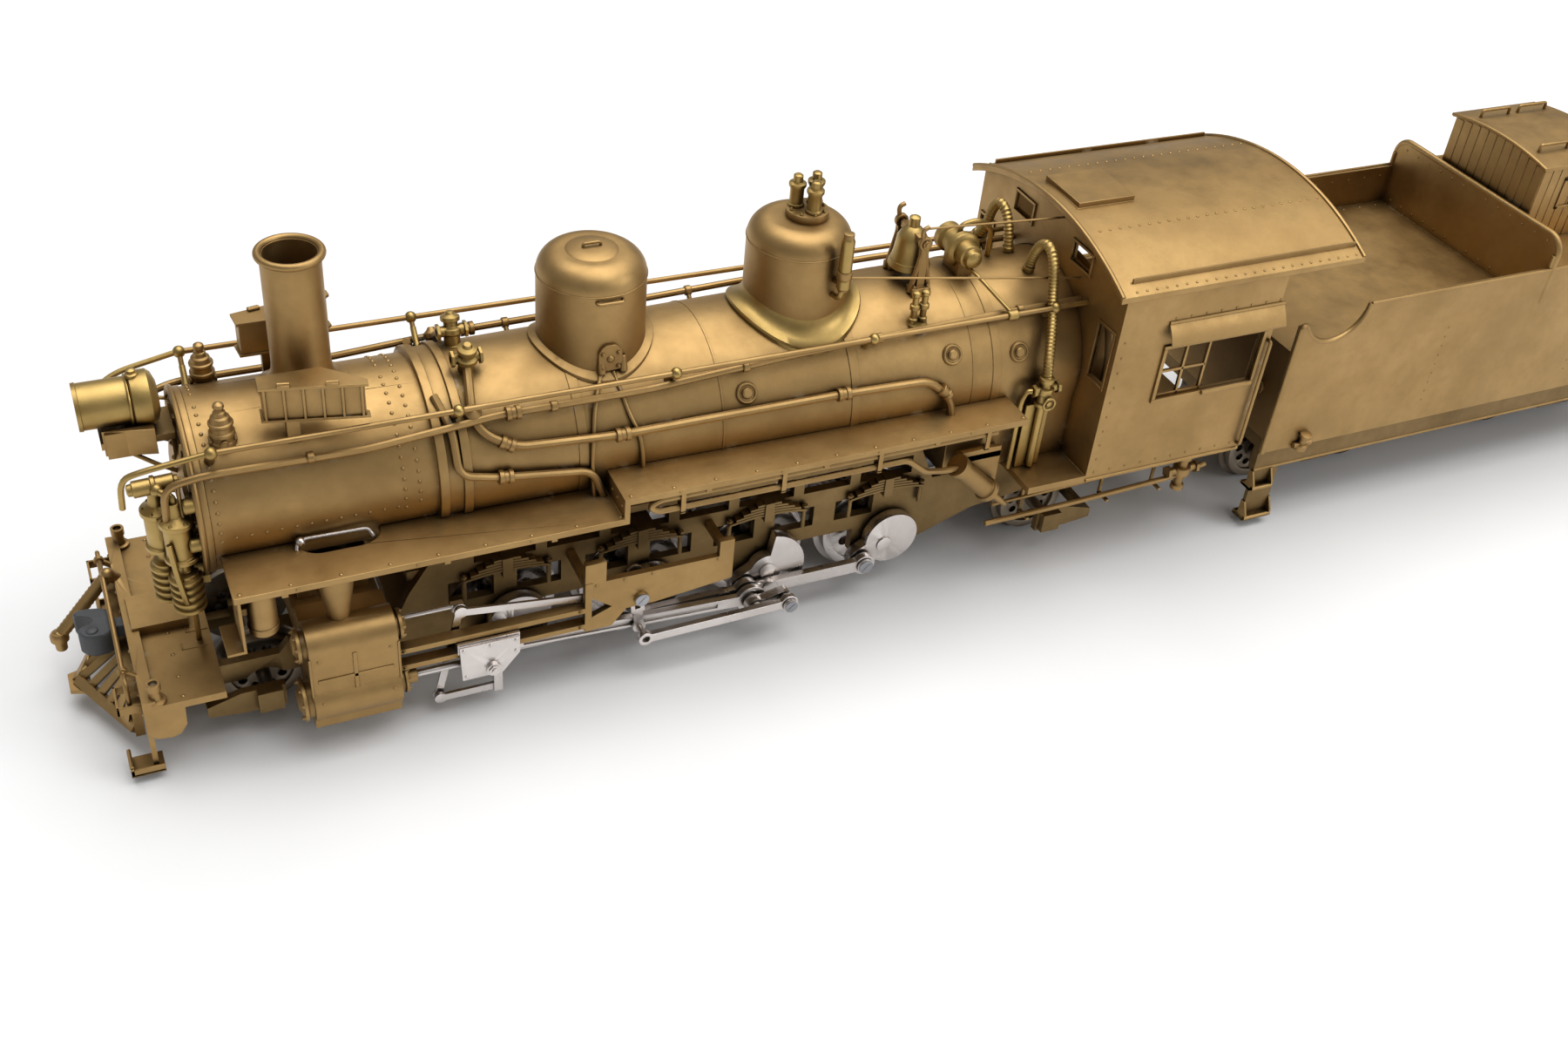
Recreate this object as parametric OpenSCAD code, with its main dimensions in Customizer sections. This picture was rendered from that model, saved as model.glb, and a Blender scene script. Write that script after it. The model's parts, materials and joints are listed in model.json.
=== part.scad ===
// Model steam locomotive with tender: outside frames and four coupled axles.
// Units are millimetres, +Z is up and the front of the engine points to -X.
// Every piece is drawn in one layout frame. The whole is then moved along X so that the
// origin lies at half the overall length, on the centre line, where the wheels stand.

/* [Wheels] */
// Position of the main driven axle along the layout
main_axle_x = 5.55; // [5:0.05:6]
// Distance between neighbouring coupled axles
axle_pitch = 14.4; // [14.2:0.1:14.8]
// Coupled wheel radius on the tread
driver_r = 5.8; // [5.6:0.1:6]
// Height of every wheel flange over its tread
flange_h = 0.65; // [0.5:0.05:0.7]
// Half the distance between the backs of two wheels on one axle
wheel_back = 4.5; // [4.4:0.05:4.6]
// Width of a coupled wheel
wheel_w = 1.9; // [1.7:0.1:2]
// Radius of the coupled axles
axle_r = 1; // [0.8:0.1:1.2]
// Tread radius of the front and trailing truck wheels
truck_wheel_r = 4.05; // [3.8:0.05:4.1]
// Tread radius of the tender wheels
tender_wheel_r = 4.35; // [4:0.05:4.4]
// Width of the truck wheels
truck_wheel_w = 1.7; // [1.5:0.1:1.8]
// Radius of the truck axles
truck_axle_r = 0.7; // [0.6:0.05:0.8]

/* [Rods] */
// Crank throw, half the piston stroke
throw = 3.15; // [3:0.05:3.2]
// Left crank direction at rest, seen from the right side
crank_angle = 210; // [200:5:220]
// Length of the main rods between their eyes
main_rod_len = 29.5; // [29:0.1:29.8]
// Distance of the eccentric pin from the axle centre
ecc_r = 1.1; // [0.9:0.05:1.2]
// Crank pin radius
pin_r = 0.55; // [0.5:0.05:0.6]
// Main crank pin radius
main_pin_r = 0.7; // [0.65:0.05:0.75]
// Running clearance round every pin
fit = 0.06; // [0.04:0.01:0.08]
// Thickness of side and main rods
rod_t = 0.8; // [0.7:0.05:0.85]
// Thickness of the cranks
crank_t = 1.2; // [1:0.1:1.3]

/* [Frame] */
// Distance of the frame plates from the centre line
frame_in = 7.4; // [7.4:0.05:7.5]
// Thickness of the frame plates
frame_t = 1; // [0.9:0.05:1]
// Top of the tall part of the frame plates
frame_top = 17.7; // [17.4:0.1:17.8]

/* [Boiler] */
// Height of the boiler centre line
boiler_z = 24.6; // [24.5:0.05:24.8]
// Radius of the smokebox
smokebox_r = 8.75; // [8.6:0.05:8.85]
// Radius of the barrel behind the smokebox
barrel_r1 = 9.05; // [8.95:0.05:9.15]
// Radius of the barrel in front of the cab
barrel_r2 = 9.9; // [9.8:0.05:9.95]
// Front end of the smokebox
smokebox_x = -50.4; // [-50.6:0.1:-50.2]
// Joint between smokebox and barrel
joint_x = -29.5; // [-30:0.1:-29]
// Wall thickness of the boiler shell
shell_t = 0.7; // [0.6:0.05:0.8]
// Chimney position along the boiler
stack_x = -39.7; // [-40.2:0.1:-39.2]
// Chimney top height
stack_top = 47.4; // [46.5:0.1:48]
// Sand dome position along the boiler
sand_x = -11.6; // [-12.2:0.1:-11.2]
// Steam dome position along the boiler
steam_x = 10.6; // [10.2:0.1:11]
// Radius of both domes
dome_r = 5.4; // [5.2:0.05:5.5]
// Top of the sand dome
sand_top = 43.2; // [42.6:0.1:43.6]
// Top of the steam dome
steam_top = 43.6; // [43:0.1:44]

/* [Cab] */
// Front wall of the cab
cab_x0 = 41.95; // [41.6:0.05:42.2]
// Rear edge of the cab sides
cab_x1 = 63.25; // [62.8:0.05:63.6]
// Half the width of the cab
cab_w = 15; // [14.8:0.05:15.1]
// Height of the cab floor
floor_z = 14.35; // [14.35:0.05:14.5]
// Thickness of sheet metal
sheet = 0.6; // [0.5:0.05:0.65]
// Top of the roof at the centre line
roof_top = 41.7; // [41.4:0.1:42]
// Radius of the roof arch
roof_r = 34; // [33:0.5:36]

/* [Running boards] */
// Outer edge of the running boards from the centre line
board_w = 14.57; // [14.4:0.01:14.7]
// Top of the front running boards
board_z1 = 21.36; // [21.2:0.02:21.6]
// Top of the rear running boards
board_z2 = 23.7; // [23.5:0.02:23.9]
// Thickness of the running boards
board_t = 0.7; // [0.6:0.05:0.8]
// Step between front and rear running boards
board_step_x = -12.4; // [-12.8:0.1:-12]
// Top of the front deck
deck_z = 9.15; // [9.15:0.05:9.2]

/* [Tender] */
// Front of the tender tank
tender_x0 = 67.9; // [67.6:0.1:68.2]
// Length of the tender tank
tender_len = 72; // [71:0.5:74]
// Half the width of the tender tank
tender_w = 14.7; // [14.5:0.05:14.8]
// Underside of the tender tank
tank_z0 = 13.3; // [13.2:0.05:13.4]
// Lower edge of the tender's side sheets
skirt_z = 11.6; // [11.4:0.1:12]
// Floor of the fuel space
bunker_z = 25.5; // [25.2:0.1:25.8]
// Top of the tank sides
tank_z1 = 30.6; // [30.4:0.1:30.8]
// Bulkhead position
bulkhead_x = 105.4; // [105:0.1:106]
// Bulkhead top
bulkhead_z = 34.4; // [34:0.1:34.8]
// Half the width of the tender cabin
shelter_w = 7.7; // [7.4:0.05:8]
// Top of the tender cabin's roof
shelter_top = 41.6; // [41.2:0.1:42]
// Distance between the tender truck centres
truck_pitch = 41; // [40:0.5:42]
// Distance between the two axles of a tender truck
truck_base = 15.2; // [15:0.1:15.6]

/* [Hidden] */
$fn = 48;

brass = [0.62, 0.5, 0.25];
dark_brass = [0.45, 0.36, 0.18];
nickel = [0.75, 0.73, 0.7];
grey = [0.45, 0.46, 0.47];

// Seat between soldered pieces that share a curved face
seat = 0.01;
axle_z = driver_r + flange_h;
frame_out = frame_in + frame_t;
// Planes of the rods, counted outward from the frame plates
crank_y = frame_out + 0.4;
side_y = crank_y + crank_t + 0.3;
main_y = side_y + rod_t + 0.55;
return_y = main_y + rod_t + 0.3;
return_t = 1;
ecc_y = return_y + return_t + 0.6;
ecc_t = 0.7;
lever_y = main_y + rod_t + 0.17;
lever_t = 0.3;
link_t = 0.33;
radius_y = lever_y + lever_t + 0.15;
piston_y = lever_y + lever_t + 0.58;
guide_y0 = lever_y + lever_t + 0.2;
guide_y1 = guide_y0 + 1.2;
plate_y = guide_y1 + 0.3;
plate_t = 0.4;
bracket_y = radius_y + 0.3 + 0.18;
bracket_t = 0.7;
// Heights of the guide bars
bar_t = 0.6;
bar_z1 = axle_z + 1.55;
bar_z2 = axle_z + 3.65;
slide_gap = 0.1;

// Cylinder block
cyl_x0 = -44.2;
cyl_x1 = -35.8;
cyl_r = 2.3;
saddle_z = 9.6;
steam_pipe_x = -40.6;
valve_z = axle_z + 6.45;
valve_y = lever_y - 0.37;
yoke_x = -16.8;
yoke_t = 0.8;
arm_z = 13;
arm_t = 0.8;
// Link and lever pivots
link_x = -10.8;
link_z = 10.5;
link_arm = 5.3;
ecc_len = 16.4;
lever_x = -29.2;
lever_len = 10.85;
union_len = 5.06;
// Radii of the rods and pivot pins
piston_rod_r = 0.36;
valve_rod_r = 0.25;
ecc_pin_r = 0.45;
link_pin_r = 0.42;
foot_pin_r = 0.35;
lever_pin_r = 0.3;
truck_pin_r = 0.7;
drag_pin_r = 0.8;
coupler_pin_r = 0.4;

function ang(s) = s < 0 ? crank_angle : crank_angle + 90;
function axle_x(n) = main_axle_x + (n - 3) * axle_pitch;
function pin_x(n, s) = axle_x(n) + throw * cos(ang(s));
function pin_z(s) = axle_z + throw * sin(ang(s));
function ecc_x(s) = main_axle_x + ecc_r * cos(ang(s) + 90);
function ecc_z(s) = axle_z + ecc_r * sin(ang(s) + 90);
function wrist_x(s) = pin_x(3, s) - sqrt(pow(main_rod_len, 2) - pow(throw * sin(ang(s)), 2));
function link_angle(s) = asin((ecc_x(s) - ecc_len - link_x) / link_arm);
function lever_angle(s) = asin((wrist_x(s) - union_len - lever_x) / lever_len);

// Trucks
pilot_x = -47.6;
pilot_pivot_x = -33;
trail_x = 42;
trail_pivot_x = 28.6;
truck_z = truck_wheel_r + flange_h;
tender_axle_z = tender_wheel_r + flange_h;
drag_x = 59;
tender_pin_x = 72;
bar_z = 9;
tender_x1 = tender_x0 + tender_len;
truck1_x = tender_x0 + 15.6;
truck2_x = truck1_x + truck_pitch;
coupler_z = 8.65;
front_pivot_x = -55;
rear_pivot_x = tender_x1 - 3;
coupler_reach = 8.6;
hose = [[-58.6, 6.6, deck_z - 0.3], [-59.7, 6.1, deck_z + 1.35], [-65.2, 4.3, 5.4], [-65.2, 4.2, 3.8]];
hose_r = 0.5;
hose_ball = 0.7;
mid_x = (hose[2][0] - hose_ball + rear_pivot_x + coupler_reach) / 2;
cone_x = 22;
firebox_x = 26.3;
firebox_w = 9.6;
boiler_end = 45;
roof_axis_z = roof_top - roof_r;
gear_r = 3.5;
worm_r = 1.15;
worm_z = axle_z + gear_r + worm_r - 0.2;
// Underside of the frame member that carries the motor
member_z = worm_z + 1.1;
motor_x0 = 26.5;
motor_x1 = 40;
motor_r = 2.6;

module box(a, b) {
    translate(a) cube(b - a);
}

module xcyl(x0, x1, y, z, r) {
    translate([x0, y, z]) rotate([0, 90, 0]) cylinder(r = r, h = x1 - x0);
}

module ycyl(x, z, y0, y1, r) {
    translate([x, y0, z]) rotate([-90, 0, 0]) cylinder(r = r, h = y1 - y0);
}

module zcyl(x, y, z0, z1, r) {
    translate([x, y, z0]) cylinder(r = r, h = z1 - z0);
}

// A plate drawn in the X and Z directions between two planes of Y
module plate(y0, y1, pts) {
    translate([0, y1, 0]) rotate([90, 0, 0]) linear_extrude(y1 - y0) polygon(pts);
}

// A bar between two points, round or with n flat sides
module bar(p, q, r, n = 48) {
    aim(p, q) cylinder(r = r, h = norm(q - p), $fn = n);
}

// Moves a shape to p and turns its Z axis toward q
module aim(p, q) {
    d = q - p;
    translate(p) rotate([0, acos(d[2] / norm(d)), atan2(d[1], d[0])]) children();
}

// A flat bar in a plane of Y between two points of X and Z
module flat(p, q, h, y0, y1) {
    d = q - p;
    translate([p[0], y0, p[1]]) rotate([0, -atan2(d[1], d[0]), 0])
        translate([0, 0, -h / 2]) cube([norm(d), y1 - y0, h]);
}

module at_side(s) {
    if (s > 0) children();
    else mirror([0, 1, 0]) children();
}

module both() {
    children();
    mirror([0, 1, 0]) children();
}

// The outer shape of the boiler, grown by g
module barrel(g) {
    xcyl(smokebox_x, joint_x, 0, boiler_z, smokebox_r + g);
    translate([joint_x, 0, boiler_z]) rotate([0, 90, 0])
        cylinder(r1 = barrel_r1 + g, r2 = barrel_r2 + g, h = cone_x - joint_x);
    xcyl(cone_x, boiler_end, 0, boiler_z, barrel_r2 + g);
    for (x = [joint_x - 0.1, joint_x + 2.2]) xcyl(x, x + 0.9, 0, boiler_z, barrel_r1 + 0.35 + g);
}

// A wheel on the right side, drawn from its back outward
module wheel(r, w, hole) {
    rotate([-90, 0, 0]) difference() {
        union() {
            cylinder(r = r + flange_h, h = 0.6);
            cylinder(r = r, h = w);
        }
        translate([0, 0, w - 0.5]) difference() {
            cylinder(r = r - 0.9, h = 1);
            translate([0, 0, -1]) cylinder(r = hole + 0.9, h = 3);
        }
        for (i = [0:9]) rotate([0, 0, 36 * i]) translate([(r + hole) / 2, 0, -1])
            cylinder(r = r / 9, h = w + 2);
    }
}

module crank(n, s) {
    a = ang(s);
    y1 = crank_y + crank_t;
    px = pin_x(n, s);
    pz = pin_z(s);
    pr = n == 3 ? main_pin_r : pin_r;
    at_side(s) {
        ycyl(axle_x(n), axle_z, crank_y, y1, 1.9);
        ycyl(axle_x(n), axle_z, y1 - 0.1, y1 + 0.2, 0.9);
        ycyl(px, pz, crank_y, y1, 1.45);
        flat([axle_x(n), axle_z], [px, pz], 2.9, crank_y, y1);
        if (n == 3) intersection() {
            ycyl(axle_x(n), axle_z, crank_y, y1, 4.5);
            plate(crank_y - 1, y1 + 1, [for (t = [0, 130, 155, 180, 205, 230])
                [axle_x(n), axle_z] + (t == 0 ? 0 : 7) * [cos(a + t), sin(a + t)]]);
        }
        else ycyl(axle_x(n) - 1.1 * cos(a), axle_z - 1.1 * sin(a), crank_y, y1, 3.2);
        if (n == 3) {
            ycyl(px, pz, y1 - 0.1, return_y + 0.1, pr);
            ycyl(px, pz, return_y, return_y + return_t, 1.1);
            flat([px, pz], [ecc_x(s), ecc_z(s)], 1.6, return_y, return_y + return_t);
            ycyl(ecc_x(s), ecc_z(s), return_y, return_y + return_t, 0.8);
            ycyl(px, pz, return_y + return_t - 0.1, return_y + return_t + 0.3, 0.75);
            ycyl(ecc_x(s), ecc_z(s), return_y + 0.1, ecc_y + ecc_t + 0.1, ecc_pin_r);
            ycyl(ecc_x(s), ecc_z(s), ecc_y + ecc_t + 0.1, ecc_y + ecc_t + 0.4, 0.8);
        }
        else {
            ycyl(px, pz, y1 - 0.1, side_y + rod_t + 0.1, pr);
            ycyl(px, pz, side_y + rod_t + 0.1, side_y + rod_t + 0.32, 0.95);
        }
    }
}

module driver_axle(n) {
    color(nickel) {
        ycyl(axle_x(n), axle_z, -crank_y, crank_y, axle_r);
        both() translate([axle_x(n), wheel_back, axle_z]) wheel(driver_r, wheel_w, axle_r);
        crank(n, -1);
        crank(n, 1);
        if (n == 4) ycyl(axle_x(n), axle_z, -1.4, 1.4, gear_r - 0.55);
        if (n == 4) translate([axle_x(n), 1.4, axle_z]) rotate([90, 0, 0])
            linear_extrude(2.8) polygon([for (i = [0:99]) let(t = 3.6 * i, k = i % 4)
                (k < 2 ? gear_r - 0.6 : gear_r - 0.25) * [cos(t), sin(t)]]);
    }
}

module side_rod(s) {
    y1 = side_y + rod_t;
    color(nickel) at_side(s) difference() {
        union() {
            flat([pin_x(1, s), pin_z(s)], [pin_x(4, s), pin_z(s)], 1.5, side_y, y1);
            for (n = [1:4]) ycyl(pin_x(n, s), pin_z(s), side_y, y1, n == 3 ? 1.5 : 1.25);
            ycyl(pin_x(3, s) + 2.7, pin_z(s), side_y, y1 + 0.15, 0.85);
            ycyl(pin_x(3, s) - 2.7, pin_z(s), side_y, y1 + 0.15, 0.85);
        }
        for (n = [1:4]) ycyl(pin_x(n, s), pin_z(s), side_y - 1, y1 + 1,
            (n == 3 ? main_pin_r : pin_r) + fit);
    }
}

module main_rod(s) {
    y1 = main_y + rod_t;
    p = [pin_x(3, s), pin_z(s)];
    q = [wrist_x(s), axle_z];
    color(nickel) at_side(s) difference() {
        union() {
            flat(p, q, 1.3, main_y, y1);
            ycyl(p[0], p[1], main_y, y1, 1.7);
            ycyl(q[0], q[1], main_y, y1, 1.1);
        }
        ycyl(p[0], p[1], main_y - 1, y1 + 1, main_pin_r + fit);
        ycyl(q[0], q[1], main_y - 1, y1 + 1, 0.5);
        translate([p[0], y1 - 0.25, p[1]]) rotate([0, -atan2(q[1] - p[1], q[0] - p[0]), 0])
            translate([4, 0, -0.3]) cube([main_rod_len - 8, 1, 0.6]);
    }
}

function foot(s) = [link_x + link_arm * sin(link_angle(s)), link_z - link_arm * cos(link_angle(s))];

module eccentric_rod(s) {
    y1 = ecc_y + ecc_t;
    p = [ecc_x(s), ecc_z(s)];
    color(nickel) at_side(s) difference() {
        union() {
            flat(p, foot(s), 1, ecc_y, y1);
            ycyl(p[0], p[1], ecc_y, y1, 1.05);
            ycyl(foot(s)[0], foot(s)[1], ecc_y, y1, 0.8);
        }
        ycyl(p[0], p[1], ecc_y - 1, y1 + 1, ecc_pin_r + fit);
        ycyl(foot(s)[0], foot(s)[1], ecc_y - 1, y1 + 1, foot_pin_r + fit);
    }
}

module expansion_link(s) {
    y1 = lever_y + link_t;
    a = link_angle(s);
    color(nickel) at_side(s) translate([link_x, 0, link_z]) rotate([0, -a, 0]) difference() {
        union() {
            box([-0.75, lever_y, -3.2], [0.75, y1, 2.9]);
            ycyl(0, 2.5, lever_y, y1, 0.75);
            flat([0, -3], [0, -link_arm], 1, lever_y, y1);
            ycyl(0, -link_arm, lever_y, y1, 0.7);
            ycyl(0, -link_arm, y1 - 0.1, ecc_y - 0.2, foot_pin_r);
        }
        ycyl(0, 0, lever_y - 1, y1 + 1, link_pin_r + fit);
        box([-0.3, lever_y - 1, -2.7], [0.3, y1 + 1, -0.95]);
        box([-0.3, lever_y - 1, 0.95], [0.3, y1 + 1, 2.5]);
    }
}

module combination_lever(s) {
    y1 = lever_y + lever_t;
    a = lever_angle(s);
    color(nickel) at_side(s) translate([lever_x, 0, valve_z]) rotate([0, -a, 0]) difference() {
        union() {
            flat([0, 0], [0, -lever_len], 0.8, lever_y, y1);
            ycyl(0, 0, lever_y, y1, 0.7);
            ycyl(0, -lever_len, lever_y, y1, 0.6);
        }
        ycyl(0, 0, lever_y - 1, y1 + 1, lever_pin_r + fit);
        ycyl(0, -lever_len, lever_y - 1, y1 + 1, 0.28);
    }
}

module valve_rod(s) {
    p = [lever_x, valve_z];
    q = [link_x - 2.2, link_z + 0.33];
    color(nickel) at_side(s) {
        xcyl(cyl_x1 - 4, lever_x - 0.2, valve_y - 0.1, valve_z, valve_rod_r);
        box([lever_x - 0.7, valve_y - 0.35, valve_z - 0.45],
            [lever_x + 0.5, lever_y - 0.08, valve_z + 0.45]);
        ycyl(lever_x, valve_z, lever_y - 0.2, radius_y + 0.1, lever_pin_r);
        flat(p, q, 0.8, radius_y, radius_y + 0.3);
        ycyl(p[0], p[1], radius_y, radius_y + 0.3, 0.65);
        ycyl(q[0], q[1], radius_y, radius_y + 0.3, 0.5);
    }
}

module crosshead(s) {
    w = wrist_x(s);
    z = axle_z;
    foot_z = valve_z - lever_len * cos(lever_angle(-1));
    color(nickel) at_side(s) {
        plate(plate_y, plate_y + plate_t, [[w - 3.3, z + 3.3], [w + 2.8, z + 3.3], [w + 2.8, z + 1.2],
            [w + 1, z - 1], [w - 3.1, z - 1]]);
        box([w - 3.4, guide_y0 + 0.1, bar_z1 + bar_t + slide_gap],
            [w + 2.9, plate_y + 0.1, bar_z2 - slide_gap]);
        ycyl(w, z, guide_y0 + 0.05, plate_y + 0.1, 1);
        ycyl(w, z, plate_y, plate_y + plate_t + 0.5, 0.75);
        xcyl(w - 16.2, w - 0.5, piston_y, z, piston_rod_r);
        box([w + 0.4, guide_y0 + 0.1, foot_z - 0.5], [w + 1.3, guide_y0 + 0.7, z]);
        box([w - union_len, guide_y0 + 0.1, foot_z - 0.4], [w + 1.3, guide_y0 + 0.45, foot_z + 0.4]);
        ycyl(w - union_len, foot_z, guide_y0 + 0.1, guide_y0 + 0.45, 0.6);
    }
}

module guides() {
    color(brass) both() difference() {
        union() {
            for (z = [bar_z1, bar_z2]) box([cyl_x1, guide_y0, z], [yoke_x + 0.1, guide_y1, z + bar_t]);
            box([yoke_x, bracket_y, bar_z1 - 0.4], [yoke_x + yoke_t, guide_y1, arm_z + arm_t]);
            box([yoke_x, frame_out, arm_z], [yoke_x + yoke_t, guide_y1, arm_z + arm_t]);
            box([-1.5, frame_out, arm_z], [-0.7, bracket_y + bracket_t, arm_z + arm_t]);
            plate(bracket_y, bracket_y + bracket_t, [[yoke_x, bar_z1 - 0.4], [yoke_x, 16.2], [-14.6, 16.2],
                [-14.6, 13.7], [-2.3, 13.7], [-2.3, 15.6], [-0.7, 15.6], [-0.7, link_z], [-9.4, link_z - 1],
                [-12.4, link_z - 1], [-13.9, bar_z1 - 0.4]]);
            ycyl(link_x, link_z, lever_y - 0.05, bracket_y + 0.1, link_pin_r);
            ycyl(link_x, link_z, bracket_y + bracket_t - 0.1, bracket_y + bracket_t + 0.35, 0.8);
        }
        plate(bracket_y - 1, bracket_y + 2, [[-16.1, 9.3], [-16.1, 11.8], [-13.9, 10.2]]);
    }
}

module cylinders() {
    color(brass) both() difference() {
        union() {
            box([cyl_x0, 0.03, saddle_z], [cyl_x1, 9, 13]);
            box([cyl_x0 + 0.8, 0.03, 12.9], [cyl_x1 - 0.8, 6.6, 17.8]);
            box([cyl_x0, frame_out + 0.3, axle_z - 2], [cyl_x1, piston_y, valve_z + 1.2]);
            xcyl(cyl_x0, cyl_x1, piston_y, axle_z, cyl_r);
            box([cyl_x0, frame_out + 1.6, axle_z - 3.1], [cyl_x1, piston_y + 1.1, axle_z]);
            xcyl(cyl_x0, cyl_x1, piston_y - 0.6, valve_z, 2.2);
            box([cyl_x0, piston_y - 0.1, axle_z], [cyl_x1, piston_y + 1.6, valve_z]);
            translate([steam_pipe_x, 12.2, valve_z])
                cylinder(r1 = 0.7, r2 = 1.9, h = board_z1 - board_t - valve_z);
            xcyl(cyl_x0 - 0.9, cyl_x0 + 0.1, piston_y, axle_z, 1.9);
            xcyl(cyl_x0 - 0.8, cyl_x0 + 0.1, piston_y - 0.6, valve_z, 1.5);
            xcyl(cyl_x1 - 0.1, cyl_x1 + 0.7, piston_y, axle_z, 1.4);
            xcyl(cyl_x1 - 0.1, cyl_x1 + 0.7, piston_y - 0.6, valve_z, 1.3);
        }
        barrel(seat);
        xcyl(cyl_x0 + 0.5, cyl_x1 + 2, piston_y, axle_z, piston_rod_r + fit);
        xcyl(cyl_x0 + 1, cyl_x1 + 2, valve_y - 0.1, valve_z, valve_rod_r + fit);
    }
}

module frame_plate() {
    t = frame_top;
    difference() {
        plate(frame_in, frame_out, [[-57.9, 6], [-57.9, deck_z - 0.8], [-46, deck_z - 0.8],
            [-45, saddle_z], [-34.4, saddle_z],
            [-33, 12.5], [-30.5, t - 1.5], [-28, t], [24, t], [26, 13.2], [62.2, 13.2], [62.2, 9.4],
            [46, 9.4], [32, 7.6], [25, 5], [-28, 5], [-34, 6]]);
        for (n = [1:4]) ycyl(axle_x(n), axle_z, frame_in - 1, frame_out + 1, axle_r + fit);
        ycyl(pilot_x, truck_z, frame_in - 1, frame_out + 1, 2.2);
        for (n = [1:4]) {
            box([axle_x(n) - 5.9, frame_in - 1, 10], [axle_x(n) - 1.2, frame_out + 1, 12.6]);
            if (n < 4) box([axle_x(n) + 1.2, frame_in - 1, 10], [axle_x(n) + 5.9, frame_out + 1, 12.6]);
            box([axle_x(n) - 3.2, frame_in - 1, 14.6], [axle_x(n) + 3.2, frame_out + 1, 16.9]);
            if (n < 4) box([axle_x(n) + 4.4, frame_in - 1, 14.6], [axle_x(n) + 10, frame_out + 1, 16.9]);
            if (n < 4) box([axle_x(n) + 3.4, frame_in - 1, 4], [axle_x(n) + 11, frame_out + 1, 8.2]);
        }
    }
}

module main_frame() {
    color(dark_brass) {
        both() frame_plate();
        for (x = [-33, -24, -10, 5]) box([x, -frame_in - 0.1, 13.3], [x + 3, frame_in + 0.1, 14.4]);
        box([24.5, -frame_in - 0.1, member_z], [26, frame_in + 0.1, 13.2]);
        box([pilot_pivot_x - 1.5, -frame_in - 0.1, 7.4], [pilot_pivot_x + 1.5, frame_in + 0.1, 9]);
        zcyl(pilot_pivot_x, 0, 3.6, 7.5, truck_pin_r);
        zcyl(pilot_pivot_x, 0, 3.2, 3.7, 1.3);
        box([trail_pivot_x - 1.2, -frame_in - 0.1, 5.9], [trail_pivot_x + 1.2, frame_in + 0.1, 7.1]);
        zcyl(trail_pivot_x, 0, 3.2, 6, truck_pin_r);
        zcyl(trail_pivot_x, 0, 2.8, 3.3, 1.3);
        box([52, -frame_in - 0.1, 10.6], [62.2, frame_in + 0.1, floor_z - 0.8]);
        zcyl(drag_x, 0, bar_z - 0.5, 10.7, drag_pin_r);
        zcyl(drag_x, 0, bar_z - 0.9, bar_z - 0.3, 1.4);
    }
}

module boiler_shell() {
    color(brass) difference() {
        union() {
            barrel(0);
            box([firebox_x, -firebox_w, floor_z], [boiler_end, firebox_w, boiler_z]);
        }
        xcyl(smokebox_x - 1, joint_x, 0, boiler_z, smokebox_r - shell_t);
        translate([joint_x, 0, boiler_z]) rotate([0, 90, 0])
            cylinder(r1 = barrel_r1 - shell_t, r2 = barrel_r2 - shell_t, h = cone_x - joint_x);
        xcyl(cone_x, boiler_end + 1, 0, boiler_z, barrel_r2 - shell_t);
        box([firebox_x + shell_t, -firebox_w + shell_t, floor_z - 1],
            [boiler_end + 1, firebox_w - shell_t, boiler_z]);
        zcyl(stack_x, 0, boiler_z, stack_top, 2.3);
    }
}

module smokebox_front() {
    x = smokebox_x;
    color(brass) {
        xcyl(x - 0.7, x, 0, boiler_z, smokebox_r + 0.15);
        xcyl(x - 1, x - 0.6, 0, boiler_z, 6.4);
        xcyl(x - 1.3, x - 0.9, 0, boiler_z, 5.6);
        for (i = [0:11]) rotate_about(30 * i)
            box([x - 1.25, -0.35, boiler_z + 5.9], [x - 0.6, 0.35, boiler_z + 7.4]);
        for (z = [boiler_z - 2.4, boiler_z + 2.4]) box([x - 1.7, -6.4, z - 0.45], [x - 1.2, 1.5, z + 0.45]);
    }
}

module rotate_about(a) {
    translate([0, 0, boiler_z]) rotate([a, 0, 0]) translate([0, 0, -boiler_z]) children();
}

module stack() {
    z0 = boiler_z + smokebox_r;
    rim_r = 0.36;
    color(brass) difference() {
        union() {
            zcyl(stack_x, 0, boiler_z, stack_top - rim_r, 2.7);
            translate([stack_x, 0, stack_top - rim_r])
                rotate_extrude() translate([2.8, 0]) circle(r = rim_r);
            intersection() {
                zcyl(stack_x, 0, boiler_z, z0 + 4, 3.9);
                xcyl(stack_x - 5, stack_x + 5, 0, boiler_z, smokebox_r + 0.5);
            }
        }
        barrel(seat);
        zcyl(stack_x, 0, boiler_z, stack_top + 1, 2.4);
    }
}

// A round dome with a rounded top and a flange that follows the boiler
module dome(x, top, flange_r, flange_t) {
    e = 2.3;
    difference() {
        union() {
            zcyl(x, 0, boiler_z + 5, top - e, dome_r);
            translate([x, 0, top - e]) rotate_extrude() translate([dome_r - e, 0]) circle(r = e);
            zcyl(x, 0, top - e - 1, top, dome_r - e);
            intersection() {
                zcyl(x, 0, boiler_z + 3, top - 5, flange_r);
                barrel(flange_t);
            }
        }
        barrel(seat);
    }
}

module sand_dome() {
    color(brass) dome(sand_x, sand_top, 6.2, 0.35);
}

module steam_dome() {
    color(brass) dome(steam_x, steam_top, 6.9, 0.55);
}

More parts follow.
